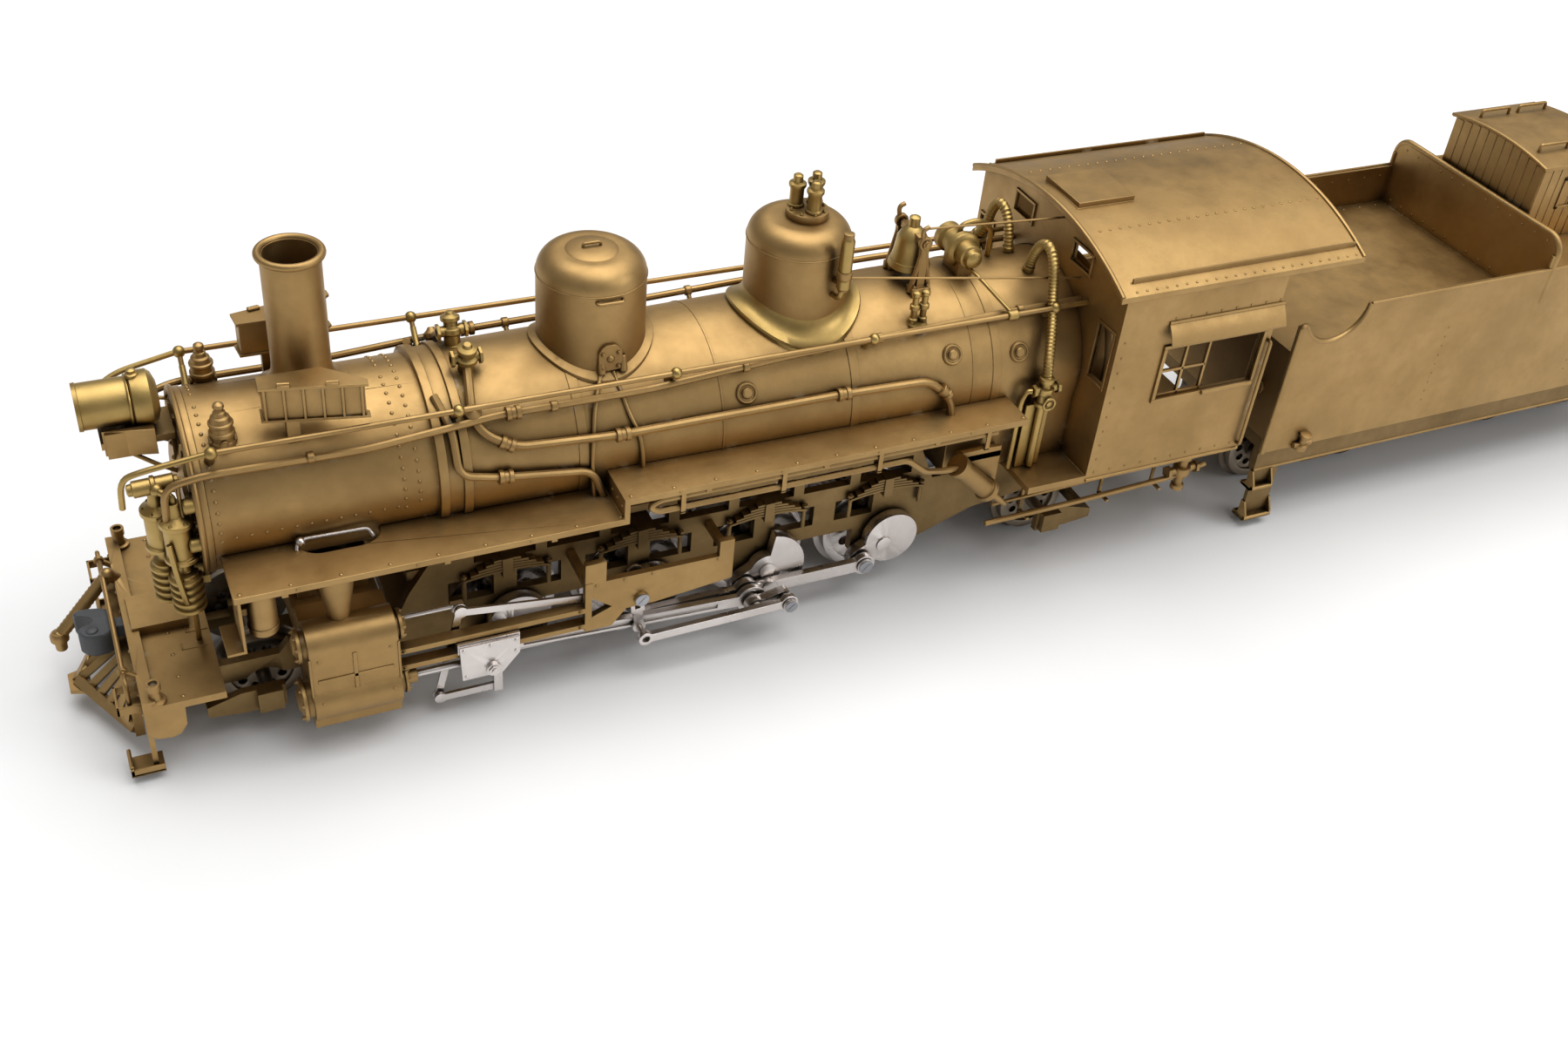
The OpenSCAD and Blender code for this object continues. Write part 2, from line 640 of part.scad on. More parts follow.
module safety_valves() {
    z = steam_top;
    color(brass) {
        zcyl(steam_x + 0.6, 0, z, z + 0.8, 2.2);
        for (p = [[-0.6, 0.9], [1.5, 0.9], [0.5, -1]]) {
            zcyl(steam_x + 0.3 + p[0], p[1], z + 0.7, z + 3, 0.62);
            zcyl(steam_x + 0.3 + p[0], p[1], z + 3, z + 3.9, 0.42);
        }
        zcyl(steam_x + 2.2, -6.3, z - 5.4, z + 1, 0.55);
        zcyl(steam_x + 2.2, -6.3, z - 4, z - 3.2, 0.8);
        difference() {
            bar([steam_x + 2.2, -6.3, z - 4.8], [steam_x + 1.4, -3, z - 4.8], 0.35);
            zcyl(steam_x, 0, z - 9, z, dome_r + seat);
        }
    }
}

module turbo_generator() {
    x = 30.2;
    z = boiler_z + barrel_r2 + 2.6;
    color(brass) difference() {
        union() {
            ycyl(x, z, -2.3, 2.3, 1.2);
            ycyl(x, z, -0.8, 0.1, 1.9);
            ycyl(x, z, -3, -2.2, 0.8);
            ycyl(x, z, 2.2, 3.1, 1.5);
            box([x - 0.9, -1.6, z - 3.4], [x + 0.9, 1.6, z]);
        }
        barrel(seat);
    }
}

module bell_stand() {
    x = bell_x;
    color(brass) difference() {
        both() {
            box([x - 0.45, 2.4, bell_z - 6], [x + 0.45, 2.95, bell_z + 0.6]);
            ycyl(x, bell_z, 2.4, 2.95, 0.75);
            box([x - 1.1, 1.9, bell_z - 7], [x + 1.1, 3.4, bell_z - 5]);
        }
        barrel(seat);
        ycyl(x, bell_z, -5, 5, 0.32 + fit);
    }
}

bell_x = 24;
bell_z = boiler_z + barrel_r2 + 5.4;

module bell() {
    color(brass) translate([bell_x, 0, bell_z]) {
        translate([0, 0, -3.9]) cylinder(r1 = 2, r2 = 1.3, h = 1.4);
        translate([0, 0, -2.5]) cylinder(r1 = 1.3, r2 = 1, h = 1.5);
        translate([0, 0, -1]) cylinder(r1 = 1, r2 = 0.5, h = 0.7);
        zcyl(0, 0, -0.4, 1.2, 0.45);
        rotate([-90, 0, 0]) translate([0, 0, -3.1]) cylinder(r = 0.32, h = 6.2);
        box([-0.4, -2, -0.35], [0.4, 2, 0.35]);
        zcyl(0, 0, -4.4, -3.8, 0.4);
    }
}

module headlight() {
    z = 34.5;
    x = smokebox_x - 1.3;
    color(brass) {
        difference() {
            union() {
                xcyl(-59.4, -54, 0, z, 2.1);
                xcyl(-54.1, -53.4, 0, z, 2.45);
            }
            xcyl(-60, -55.2, 0, z, 1.8);
        }
        box([-55.8, -1, 31.6], [-53.6, 1, z - 1.6]);
        box([-58, -2.2, 31], [x, 2.2, 31.7]);
        both() box([x - 0.4, 1.2, 28], [x, 2, 31.1]);
        both() box([-57.6, 2.1, 30.2], [-53.6, 2.6, 32.8]);
    }
}

module class_lamps() {
    color(brass) both() difference() {
        union() {
            zcyl(-48, 5.1, 29, 33, 0.9);
            zcyl(-48, 5.1, 32.4, 33.4, 1.25);
            zcyl(-48, 5.1, 33.3, 34.4, 0.8);
            zcyl(-48, 5.1, 34.3, 35.1, 1.05);
            zcyl(-48, 5.1, 35, 35.9, 0.55);
            translate([-48, 5.1, 36.2]) sphere(r = 0.5);
        }
        barrel(seat);
    }
}

module number_boards() {
    color(brass) both() {
        linear_z([[-44.3, 4.7], [-38.8, 4.7], [-35.6, 7.7], [-35.7, 8.2], [-44.4, 6.4]], 34.3, 37.6);
        difference() {
            box([-42.5, 5, 29], [-41.3, 6, 34.3]);
            barrel(seat);
        }
    }
}

module linear_z(pts, z0, z1) {
    translate([0, 0, z0]) linear_extrude(z1 - z0) polygon(pts);
}

module air_pump() {
    z = 13;
    color(brass) {
        for (p = [[-54.6, -5.2], [-53.3, -8.2]]) translate([p[0], p[1], z]) {
            cylinder(r = 1.6, h = 6);
            for (i = [0:4]) translate([0, 0, 0.6 + 1.1 * i]) cylinder(r = 1.95, h = 0.5);
            translate([0, 0, 5.9]) cylinder(r = 0.8, h = 2.1);
            translate([0, 0, 7.9]) cylinder(r = 1.65, h = 5.5);
            translate([0, 0, 12.8]) cylinder(r = 1.95, h = 1);
            translate([0, 0, 13.7]) cylinder(r = 0.9, h = 1.1);
        }
        box([-54.8, -7.6, deck_z], [-53.4, -5.8, z + 12]);
    }
}

// Radius of the boiler at x, and a point over it: a is the angle above the horizontal
function barrel_at(x) = x < joint_x ? smokebox_r
    : barrel_r1 + (barrel_r2 - barrel_r1) * min((x - joint_x) / (cone_x - joint_x), 1);
function over(x, a, lift) = [x, (barrel_at(x) + lift) * cos(a), boiler_z + (barrel_at(x) + lift) * sin(a)];
rail_y = over(cone_x, 45.27, 2.29)[1];
rail_z = over(cone_x, 45.27, 2.29)[2];
post_x = [-49.5, -27.4, -5.8, 15.9, 37.8];

// The pipe that runs below the handrail: its two ends, and the point on it at x
pipe_a = over(-49, 36.75, 1.11);
pipe_b = over(38, 48.8, 1.26);
function pipe_at(x) = pipe_a + (pipe_b - pipe_a) * (x - pipe_a[0]) / (pipe_b[0] - pipe_a[0]);
// Collars on that pipe where it passes through two of the posts
collar_r = 0.7;
module pipe_collars(g) {
    for (x = [post_x[2], post_x[3]]) bar(pipe_at(x - collar_r - g), pipe_at(x + collar_r + g), collar_r + g);
}

module handrails() {
    color(brass) both() difference() {
        union() {
            xcyl(-50, 40, rail_y, rail_z, 0.28);
            for (x = post_x) {
                xcyl(x - 0.3, x + 0.3, rail_y, rail_z, 0.5);
                bar([x, rail_y, rail_z], over(x, 45.27, -2), 0.25);
            }
        }
        barrel(seat);
        pipe_collars(seat);
    }
}

module running_boards() {
    color(brass) both() difference() {
        union() {
            box([-50, 4, board_z1 - board_t], [board_step_x, board_w, board_z1]);
            box([board_step_x - 0.6, 4, board_z1 - board_t], [board_step_x, board_w, board_z2]);
            box([board_step_x - 0.6, 4, board_z2 - board_t], [32.8, board_w, board_z2]);
        }
        barrel(seat);
        box([firebox_x - 0.1, 0, 10], [50, firebox_w + seat, boiler_z]);
        box([-41, 4, board_z1 - 2], [-37.6, smokebox_r + 1.7, board_z1 + 1]);
        for (x = [-41, -37.6]) zcyl(x, smokebox_r - 0.5, board_z1 - 2, board_z1 + 1, 2.2);
    }
}

module pilot_deck() {
    z = deck_z;
    color(brass) difference() {
        union() {
            box([-59.2, -12.9, z - 0.8], [-51.7, 12.9, z]);
            box([-59.2, -12.9, z - 3], [-58, 12.9, z + 0.7]);
            box([-58.6, -2.5, coupler_z - 1.5], [-53.4, 2.5, coupler_z + 1.5]);
            both() {
                plate(12.6, 12.9, [[-59.2, z - 0.2], [-55.5, z - 0.2], [-55.6, 6.2], [-56.2, 5.2], [-57, 4.9],
                    [-58.4, 5.1], [-59.2, 5.9]]);
                box([-59.2, 12.1, 1.2], [-58.7, 12.6, z - 2.9]);
                box([-61.3, 10.6, 1], [-58.2, 13.1, 1.3]);
                box([-61.3, 10.6, 1.2], [-61, 13.1, 2.3]);
                bar([-59, 8.6, z + 0.3], [-60.2, 8.6, z + 1.3], 0.3);
            }
            pipe_run(hose, hose_r, hose_ball);
            ycyl(-60.2, z + 1.3, -9, 9, 0.25);
        }
        box([-60, -1.7, coupler_z - 0.85], [-54, 1.7, coupler_z + 0.85]);
    }
    color(brass) zcyl(front_pivot_x, 0, coupler_z - 1, coupler_z + 1, coupler_pin_r);
}

module front_coupler() {
    color(grey) coupler(front_pivot_x, 1);
}

// The coupler with the eye for its pin, pointing forward (d = 1) or backward (d = -1)
module coupler(x, d) {
    z = coupler_z;
    translate([x, 0, 0]) scale_x(d) {
        difference() {
            union() {
                box([-5.2, -0.7, z - 0.7], [0, 0.7, z + 0.7]);
                zcyl(0, 0, z - 0.7, z + 0.7, 0.9);
            }
            zcyl(0, 0, z - 2, z + 2, coupler_pin_r + fit);
        }
        box([-6.2, -1.9, z - 1.5], [-5, 1.9, z + 1.2]);
        box([-7.3, -1.9, z - 1.5], [-6.1, -0.3, z + 1.2]);
        zcyl(-7.4, -1.1, z - 1.9, z + 1.4, 1.1);
        linear_z([[-6.1, 0.5], [-6.1, 2.2], [-7.4, 2.5], [-coupler_reach, 2.5], [-coupler_reach, 1.7],
            [-7.3, 0.5]], z - 1.9, z + 1.2);
    }
}

module scale_x(d) {
    if (d > 0) children();
    else mirror([1, 0, 0]) children();
}

module pilot() {
    top = deck_z - 2.2;
    color(brass) {
        box([-60, -9.4, top - 0.9], [-59.2, 9.4, top]);
        both() {
            bar([-64.2, 0, 3], [-60, 8.6, 3], 0.7, 4);
            for (i = [1:5]) bar([-64.2 + 0.73 * i, 1.5 * i, 3], [-59.8, 1.55 * i, top - 0.45], 0.5, 4);
            box([-60.2, 8.4, 2.5], [-59.3, 9.2, top - 0.5]);
        }
        bar([-64.2, 0, 3], [-59.8, 0, top - 0.45], 0.5, 4);
    }
}

module cab_body() {
    color(brass) difference() {
        union() {
            intersection() {
                union() {
                    box([cab_x0, -cab_w, floor_z], [cab_x0 + sheet, cab_w, 45]);
                    both() box([cab_x0, cab_w - sheet, floor_z - 0.8], [cab_x1, cab_w, 45]);
                }
                xcyl(cab_x0 - 5, cab_x1 + 5, 0, roof_axis_z, roof_r - sheet - seat);
            }
            box([cab_x0 - 7.5, -cab_w, floor_z - 0.8], [cab_x1, cab_w, floor_z]);
        }
        xcyl(cab_x0 - 1, cab_x0 + 2, 0, boiler_z, barrel_r2 + seat);
        box([cab_x0 - 1, -firebox_w - seat, floor_z], [cab_x0 + 2, firebox_w + seat, boiler_z]);
        both() {
            box([cab_x0 + 6.8, cab_w - 2, 23.5], [cab_x0 + 19.9, cab_w + 1, 30]);
            box([cab_x0 - 1, 11.4, 25.7], [cab_x0 + 2, 14.1, 32.4]);
            box([cab_x0 - 1, 4.2, 36.2], [cab_x0 + 2, 7.8, 38.4]);
        }
    }
}

module cab_roof() {
    w = cab_w + 0.68;
    color(brass) {
        difference() {
            intersection() {
                xcyl(cab_x0 - 1.4, cab_x1 + 9.6, 0, roof_axis_z, roof_r);
                box([cab_x0 - 1.4, -w, 30], [cab_x1 + 9.6, w, 50]);
            }
            xcyl(cab_x0 - 5, cab_x1 + 20, 0, roof_axis_z, roof_r - sheet);
        }
        difference() {
            box([cab_x0 + 0.4, -3, roof_top - 2], [cab_x0 + 7.6, 3.8, roof_top + 0.5]);
            xcyl(cab_x0 - 5, cab_x1 + 20, 0, roof_axis_z, roof_r - 0.1);
        }
    }
}

module backhead() {
    color(dark_brass) {
        xcyl(boiler_end, boiler_end + 0.8, 0, boiler_z, barrel_r2);
        box([boiler_end, -firebox_w, floor_z], [boiler_end + 0.8, firebox_w, boiler_z]);
        xcyl(boiler_end + 0.7, boiler_end + 1.2, 0, 19.5, 2.4);
        for (y = [-4, 0, 4]) xcyl(boiler_end + 0.7, boiler_end + 1.5, y, 29, 1.1);
        bar([boiler_end + 0.6, -1, 25], [boiler_end + 3.2, 3, 26.5], 0.35);
    }
}

// Corners of the lower, the feed and the steam pipe
low_a = over(-22.5, 21.6, 0.78);
low_b = over(22.4, 18.4, 0.85);
low_c = over(25.5, 13.3, 1.4);
feed_a = over(-28, 8, 1.03);
feed_b = over(-15, 1.1, 0.91);
steam_a = over(36.2, 16.6, 2);
check_z = boiler_z + barrel_at(-24.8) + 1.47;

// A pipe from point to point with a ball at each one but the last
module pipe_run(pts, r, ball) {
    for (i = [0:len(pts) - 2]) aim(pts[i], pts[i + 1]) {
        cylinder(r = r, h = norm(pts[i + 1] - pts[i]));
        sphere(r = ball);
    }
}

// The end of a pipe that goes into the boiler
module pipe_end(from, to, r) {
    difference() {
        bar(from, to, r);
        barrel(seat);
    }
}

module boiler_pipes() {
    color(brass) both() {
        bar(pipe_a, pipe_b, 0.35);
        pipe_collars(0);
        for (x = [-40, -18, 2, 20, 33.5]) pipe_end([x, 4, 28], pipe_at(x), 0.22);
        pipe_end(over(-26, 46.7, -0.4), low_a, 0.45);
        pipe_end(over(-28, 53.7, -0.8), feed_a, 0.4);
        pipe_end(over(steam_a[0], 43.4, -0.4), steam_a, 0.7);
        pipe_run([low_a, low_b, low_c, [low_c[0], low_c[1], board_z2]], 0.45, 0.7);
        pipe_run([feed_a, feed_b, [feed_b[0], feed_b[1], board_z1]], 0.4, 0.55);
        difference() {
            union() {
                zcyl(-24.8, 2.6, boiler_z + 5, check_z + 1, 0.75);
                xcyl(-26, -23.6, 2.6, check_z, 0.55);
            }
            barrel(seat);
        }
        pipe_run([steam_a, [steam_a[0], steam_a[1], 23]], 0.7, 0.9);
        zcyl(steam_a[0], steam_a[1], 20.4, 24.6, 1.1);
        zcyl(steam_a[0], steam_a[1], floor_z, 20.6, 0.4);
        for (z = [21.2, 22.2]) xcyl(-10, 30, 13.9, z, 0.35);
        for (x = [-9, 4, 17, 29]) box([x, 13.4, 20.7], [x + 0.5, 14.3, board_z2 - board_t]);
    }
}

module motor() {
    color(grey) {
        difference() {
            union() {
                xcyl(motor_x0, motor_x1, 0, worm_z, motor_r);
                box([motor_x0 - 1, -3, worm_z - 2], [motor_x0 + 0.2, 3, member_z]);
            }
            xcyl(motor_x0 - 2, motor_x1 + 1, 0, worm_z, 0.6 + fit);
        }
    }
}

module motor_shaft() {
    x = axle_x(4);
    color(nickel) {
        xcyl(x - 4, motor_x1 + 0.8, 0, worm_z, 0.6);
        xcyl(x - 3, x + 3, 0, worm_z, worm_r);
    }
}

module truck_axle(x, r, z, half) {
    color(nickel) {
        ycyl(x, z, -half, half, truck_axle_r);
        both() translate([x, wheel_back, z]) wheel(r, truck_wheel_w, truck_axle_r);
    }
}

// Frame of a two-wheel truck, with bearings between the wheels and outside them
module small_truck(px, x, d) {
    z = truck_z;
    y0 = 9.4;
    y1 = y0 + 0.8;
    color(dark_brass) difference() {
        union() {
            both() {
                plate(2.6, 3.8, [[x - d * 1.4, z - 1], [x - d * 1.4, z + 0.2],
                    [x - d * 5.9, z + 0.2], [x - d * 5.9, z - 1]]);
                plate(y0, y1, [[x - d * 5.9, z - 1], [x - d * 5.9, z + 0.2], [x - d * 2.6, z + 1.2],
                    [x + d * 1.6, z + 1.2], [x + d * 1.6, z - 1.4], [x - d * 2.6, z - 1.4]]);
                box([x - 1.2, y1 - 0.1, z - 1.2], [x + 1.2, y1 + 0.8, z + 1.2]);
            }
            box([x - d * 5.5 - 0.4, -y1, z - 1], [x - d * 5.5 + 0.4, y1, z + 0.2]);
            both() box([x - 1.5, 2.6, z - 1.5], [x + 1.5, 3.8, z + 1.5]);
            box([min(x + d * 1.4, x + d * 3), -3.8, z - 1], [max(x + d * 1.4, x + d * 3), 3.8, z + 0.2]);
            box([min(px, x + d * 2.9), -1.1, z - 0.6], [max(px, x + d * 2.9), 1.1, z + 0.2]);
            zcyl(px, 0, z - 0.6, z + 0.2, 1.8);
        }
        ycyl(x, z, -y1 + 0.1, y1 - 0.1, truck_axle_r + fit);
        zcyl(px, 0, 0, 20, truck_pin_r + fit);
    }
}

module drawbar() {
    color(dark_brass) difference() {
        union() {
            box([drag_x, -1.3, bar_z], [tender_pin_x, 1.3, bar_z + 0.8]);
            zcyl(drag_x, 0, bar_z, bar_z + 0.8, 1.9);
            zcyl(tender_pin_x, 0, bar_z, bar_z + 0.8, 1.9);
        }
        zcyl(drag_x, 0, 0, 20, drag_pin_r + fit);
        zcyl(tender_pin_x, 0, 0, 20, drag_pin_r + fit);
    }
}

module tender_frame() {
    x0 = tender_x0 + 0.5;
    x1 = tender_x1 - 0.3;
    color(dark_brass) difference() {
        union() {
            box([x0, -tender_w + 1, tank_z0 - 2], [x1, tender_w - 1, tank_z0]);
            both() box([x0, tender_w - 2, 8.2], [x1, tender_w - 1, tank_z0 - 1.9]);
            for (x = [truck1_x, truck2_x]) {
                zcyl(x, 0, 10.2, tank_z0 - 1.9, 3);
                zcyl(x, 0, 6.6, tank_z0 - 1.9, drag_pin_r);
            }
            zcyl(tender_pin_x, 0, bar_z - 0.5, tank_z0 - 1.9, drag_pin_r);
            zcyl(tender_pin_x, 0, bar_z - 0.9, bar_z - 0.3, 1.4);
            zcyl(tender_pin_x, 0, bar_z + 1.2, tank_z0 - 1.9, 1.6);
            box([rear_pivot_x - 2, -2.5, coupler_z - 1.6], [x1, 2.5, tank_z0 - 1.9]);
            both() {
                box([x0 + 0.2, tender_w - 1.4, 1.5], [x0 + 3.8, tender_w - 0.9, 8.3]);
                box([x0, tender_w - 2.2, 1], [x0 + 4, tender_w - 0.2, 1.6]);
            }
        }
        box([rear_pivot_x - 1, -1.7, coupler_z - 0.85], [tender_x1 + 2, 1.7, coupler_z + 0.85]);
    }
    color(dark_brass) zcyl(rear_pivot_x, 0, coupler_z - 1, coupler_z + 1, coupler_pin_r);
}

module tender_body() {
    z0 = tank_z0;
    x0 = tender_x0;
    x1 = tender_x1;
    w = tender_w;
    color(brass) difference() {
        union() {
            box([x0, -w, z0], [x1, w, tank_z1]);
            both() box([x0, w - 0.7, skirt_z], [x1, w, z0 + 1]);
            plate_x(bulkhead_x, bulkhead_x + 0.7, bulkhead_z, w - 0.3);
        }
        box([x0 + 0.7, -w + 0.7, z0 - 1], [x1 - 0.7, w - 0.7, bunker_z - 0.7]);
        box([bulkhead_x + 0.7, -w + 0.7, z0 - 1], [x1 - 0.7, w - 0.7, tank_z1 - 0.6]);
        box([x0 - 1, -w + 0.7, bunker_z], [bulkhead_x, w - 0.7, tank_z1 + 1]);
        ycyl(x0 + 5.1, tank_z1 + 0.3, -w - 1, w + 1, 4.6);
        box([x0 - 1, -w - 1, tank_z1 - 1.6], [x0 + 2, w + 1, tank_z1 + 1]);
    }
}

// An upright plate across the tender with rounded top corners
module plate_x(x0, x1, top, w) {
    box([x0, -w, bunker_z - 0.6], [x1, w, top - 2]);
    box([x0, -w + 2, bunker_z - 0.6], [x1, w - 2, top]);
    both() xcyl(x0, x1, w - 2, top - 2, 2);
}

module doghouse() {
    x0 = bulkhead_x + 1.2;
    x1 = x0 + 13;
    w = shelter_w;
    r = 37.5;
    axis = shelter_top - r;
    eave = 0.4;
    color(brass) {
        difference() {
            intersection() {
                box([x0, -w, tank_z1], [x1, w, 50]);
                xcyl(x0 - 1, x1 + 1, 0, axis, r - 0.5);
            }
            intersection() {
                box([x0 + sheet, -w + sheet, tank_z1 - 1], [x1 - sheet, w - sheet, 50]);
                xcyl(x0 - 1, x1 + 1, 0, axis, r - 1.2);
            }
        }
        difference() {
            intersection() {
                xcyl(x0 - eave, x1 + eave, 0, axis, r);
                box([x0 - eave, -w - eave, tank_z1 + 5], [x1 + eave, w + eave, 50]);
            }
            xcyl(x0 - 2, x1 + 2, 0, axis, r - 0.5 - seat);
        }
    }
}

// A four-wheel tender truck with side frames outside the wheels
module tender_truck(x) {
    z = tender_axle_z;
    h = truck_base / 2;
    color(dark_brass) difference() {
        union() {
            box([x - 1.7, -8.1, z + 0.6], [x + 1.7, 8.1, 10.1]);
            both() plate(7.1, 8.1, [[x - h - 1.8, z - 1.2], [x - h - 1.8, z + 1.3], [x - h + 0.5, z + 1.9],
                [x - 2.6, z + 3.4], [x + 2.6, z + 3.4], [x + h - 0.5, z + 1.9], [x + h + 1.8, z + 1.3],
                [x + h + 1.8, z - 1.2], [x + h - 1, z - 1.7], [x + 2, z - 2.2],
                [x - 2, z - 2.2], [x - h + 1, z - 1.7]]);
        }
        for (d = [-h, h]) ycyl(x + d, z, -9, 9, truck_axle_r + fit);
        both() for (d = [-1, 1]) plate(6.9, 8.3, [[x + d * 2.5, z - 1], [x + d * 2.5, z + 2],
            [x + d * (h - 2), z + 0.8],
            [x + d * (h - 2), z - 0.9]]);
        zcyl(x, 0, 0, 20, drag_pin_r + fit);
    }
}

module all_parts() {
    translate([-mid_x, 0, 0]) children();
}

all_parts() {
    main_frame();
    cylinders();
    guides();
    boiler_shell();
    smokebox_front();
    stack();
    sand_dome();
    steam_dome();
    safety_valves();
    turbo_generator();
    bell_stand();
    headlight();
    class_lamps();
    number_boards();
    air_pump();
    handrails();
    running_boards();
    pilot_deck();
    pilot();
    cab_body();
    cab_roof();
    backhead();
    boiler_pipes();
    motor();
    motor_shaft();
    bell();
    front_coupler();
    driver_axle(1);  // driver_axle_1
    driver_axle(2);  // driver_axle_2
    driver_axle(3);  // driver_axle_3
    driver_axle(4);  // driver_axle_4
    side_rod(-1);  // side_rod_left
    side_rod(1);  // side_rod_right
    main_rod(-1);  // main_rod_left
    main_rod(1);  // main_rod_right
    eccentric_rod(-1);  // eccentric_rod_left
    eccentric_rod(1);  // eccentric_rod_right
    crosshead(-1);  // crosshead_left
    crosshead(1);  // crosshead_right
    combination_lever(-1);  // combination_lever_left
    combination_lever(1);  // combination_lever_right
    expansion_link(-1);  // expansion_link_left
    expansion_link(1);  // expansion_link_right
    valve_rod(-1);  // valve_rod_left
    valve_rod(1);  // valve_rod_right
    small_truck(pilot_pivot_x, pilot_x, 1);  // pilot_truck
    truck_axle(pilot_x, truck_wheel_r, truck_z, 10);  // pilot_wheelset
    small_truck(trail_pivot_x, trail_x, -1);  // trailing_truck
    truck_axle(trail_x, truck_wheel_r, truck_z, 10);  // trailing_wheelset
    drawbar();
    tender_frame();
    tender_body();
    doghouse();
    tender_truck(truck1_x);  // tender_truck_front
    tender_truck(truck2_x);  // tender_truck_rear
    tender_axle(truck1_x - truck_base / 2);  // tender_wheelset_1
    tender_axle(truck1_x + truck_base / 2);  // tender_wheelset_2
    tender_axle(truck2_x - truck_base / 2);  // tender_wheelset_3
    tender_axle(truck2_x + truck_base / 2);  // tender_wheelset_4
    color(grey) coupler(rear_pivot_x, -1);  // rear_coupler
}

module tender_axle(x) {
    truck_axle(x, tender_wheel_r, tender_axle_z, 8);
}
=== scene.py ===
import json
from math import atan2, cos, degrees, pi, radians, sin, sqrt, tau

import bmesh
import bpy
from mathutils import Matrix, Vector


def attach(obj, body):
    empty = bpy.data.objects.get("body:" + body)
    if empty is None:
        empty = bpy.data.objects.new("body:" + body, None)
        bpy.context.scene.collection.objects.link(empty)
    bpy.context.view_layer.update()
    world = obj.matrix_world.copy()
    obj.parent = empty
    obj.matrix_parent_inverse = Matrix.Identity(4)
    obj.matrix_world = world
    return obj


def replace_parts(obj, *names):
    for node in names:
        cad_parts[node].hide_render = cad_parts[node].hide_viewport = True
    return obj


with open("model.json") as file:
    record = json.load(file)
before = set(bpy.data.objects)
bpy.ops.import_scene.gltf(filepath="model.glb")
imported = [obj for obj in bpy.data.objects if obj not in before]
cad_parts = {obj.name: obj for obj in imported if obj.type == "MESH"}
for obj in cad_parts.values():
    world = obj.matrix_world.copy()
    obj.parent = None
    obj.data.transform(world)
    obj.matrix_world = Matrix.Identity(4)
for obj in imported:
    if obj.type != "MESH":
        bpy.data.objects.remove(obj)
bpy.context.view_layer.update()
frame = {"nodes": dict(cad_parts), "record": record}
nodes = frame["nodes"]
scene = bpy.context.scene

# The layout is in millimetres: the engine faces -x, its right side is +y, and its zero lies
# MID ahead of the middle of the whole train
MM = 0.001
MID = 39.8
AHEAD = (-1, 0, 0)
REAR = (1, 0, 0)
LEFT = (0, -1, 0)
RIGHT = (0, 1, 0)
UP = (0, 0, 1)
DOWN = (0, 0, -1)
SIDES = (-1, 1)

# Boiler: centre line, front face, joint of smokebox and barrel, radii and end of the taper
BOILER_Z = 24.6
FRONT_X = -51.2
JOINT_X = -29.5
SMOKEBOX_R = 8.75
BARREL_R = 9.05
TAPER = 0.85
TAPER_END = 22
# What stands on the boiler, and the handrails beside it
CHIMNEY_X = -39.7
SAND_DOME_X = -11.6
STEAM_DOME_X = 10.6
BELL_X = 24
BELL_Z = 39.9
RAIL_Y = 8.58
RAIL_Z = 33.26
# Front deck and couplers
DECK_TOP = 9.15
COUPLER_Z = 8.65
# Running gear: third axle, distance of the axles, crank throw, main rod and crank angles
AXLE_Z = 6.45
MAIN_AXLE_X = 5.55
AXLE_PITCH = 14.4
CRANK = 3.15
MAIN_ROD = 29.5
CRANK_DEG = {"left": 210, "right": 300}
CYLINDER_Y = 13.5
# Cab sides and front, and the axis and radius of the roof
CAB_Y = 15
CAB_FRONT = 42
ROOF_AXIS = 7.7
ROOF_R = 34
# Tender: ends, half width, foot and top of the tank, bulkhead and truck centres
TENDER_X0 = 67.9
TENDER_X1 = 139.9
TENDER_Y = 14.7
TANK_FOOT = 11.6
TANK_TOP = 30.6
BULKHEAD_X = 105.4
TRUCK_X = {"tender_truck_front": 83.5, "tender_truck_rear": 124.5}
# Cabin on the tender: half width, and the axis and radius of its roof
SHELTER_Y = 7.7
SHELTER_AXIS = 4.1
SHELTER_R = 37.5

# Steps of a rounded pipe corner, and the angles from which edges are sharp and get rounded
CORNER_STEPS = 5
SHARP_DEG = 35
BEVEL_DEG = 40


# Materials

# Sockets of a Mix node that mixes colours
MIX_FACTOR = 0
MIX_A = 6
MIX_B = 7
MIX_RESULT = 2


def new_material(name):
    material = bpy.data.materials.new(name)
    material.use_nodes = True
    tree = material.node_tree
    return material, tree, tree.nodes["Principled BSDF"]


def node(tree, kind, **inputs):
    made = tree.nodes.new(kind)
    for key, value in inputs.items():
        made.inputs[key].default_value = value
    return made


def coords(tree):
    return node(tree, "ShaderNodeTexCoord").outputs["Object"]


def noise(tree, vector, scale, detail=4, rough=0.55):
    made = node(tree, "ShaderNodeTexNoise", Scale=scale, Detail=detail, Roughness=rough)
    tree.links.new(vector, made.inputs["Vector"])
    return made.outputs["Fac"]


def ramp(tree, factor, stops):
    """A ramp of two stops; a stop's colour is a grey value or three numbers."""
    made = node(tree, "ShaderNodeValToRGB")
    marks = made.color_ramp.elements
    for i, (place, colour) in enumerate(stops):
        marks[i].position = place
        marks[i].color = (*colour, 1) if hasattr(colour, "__len__") else (colour, colour, colour, 1)
    tree.links.new(factor, made.inputs["Fac"])
    return made.outputs["Color"]


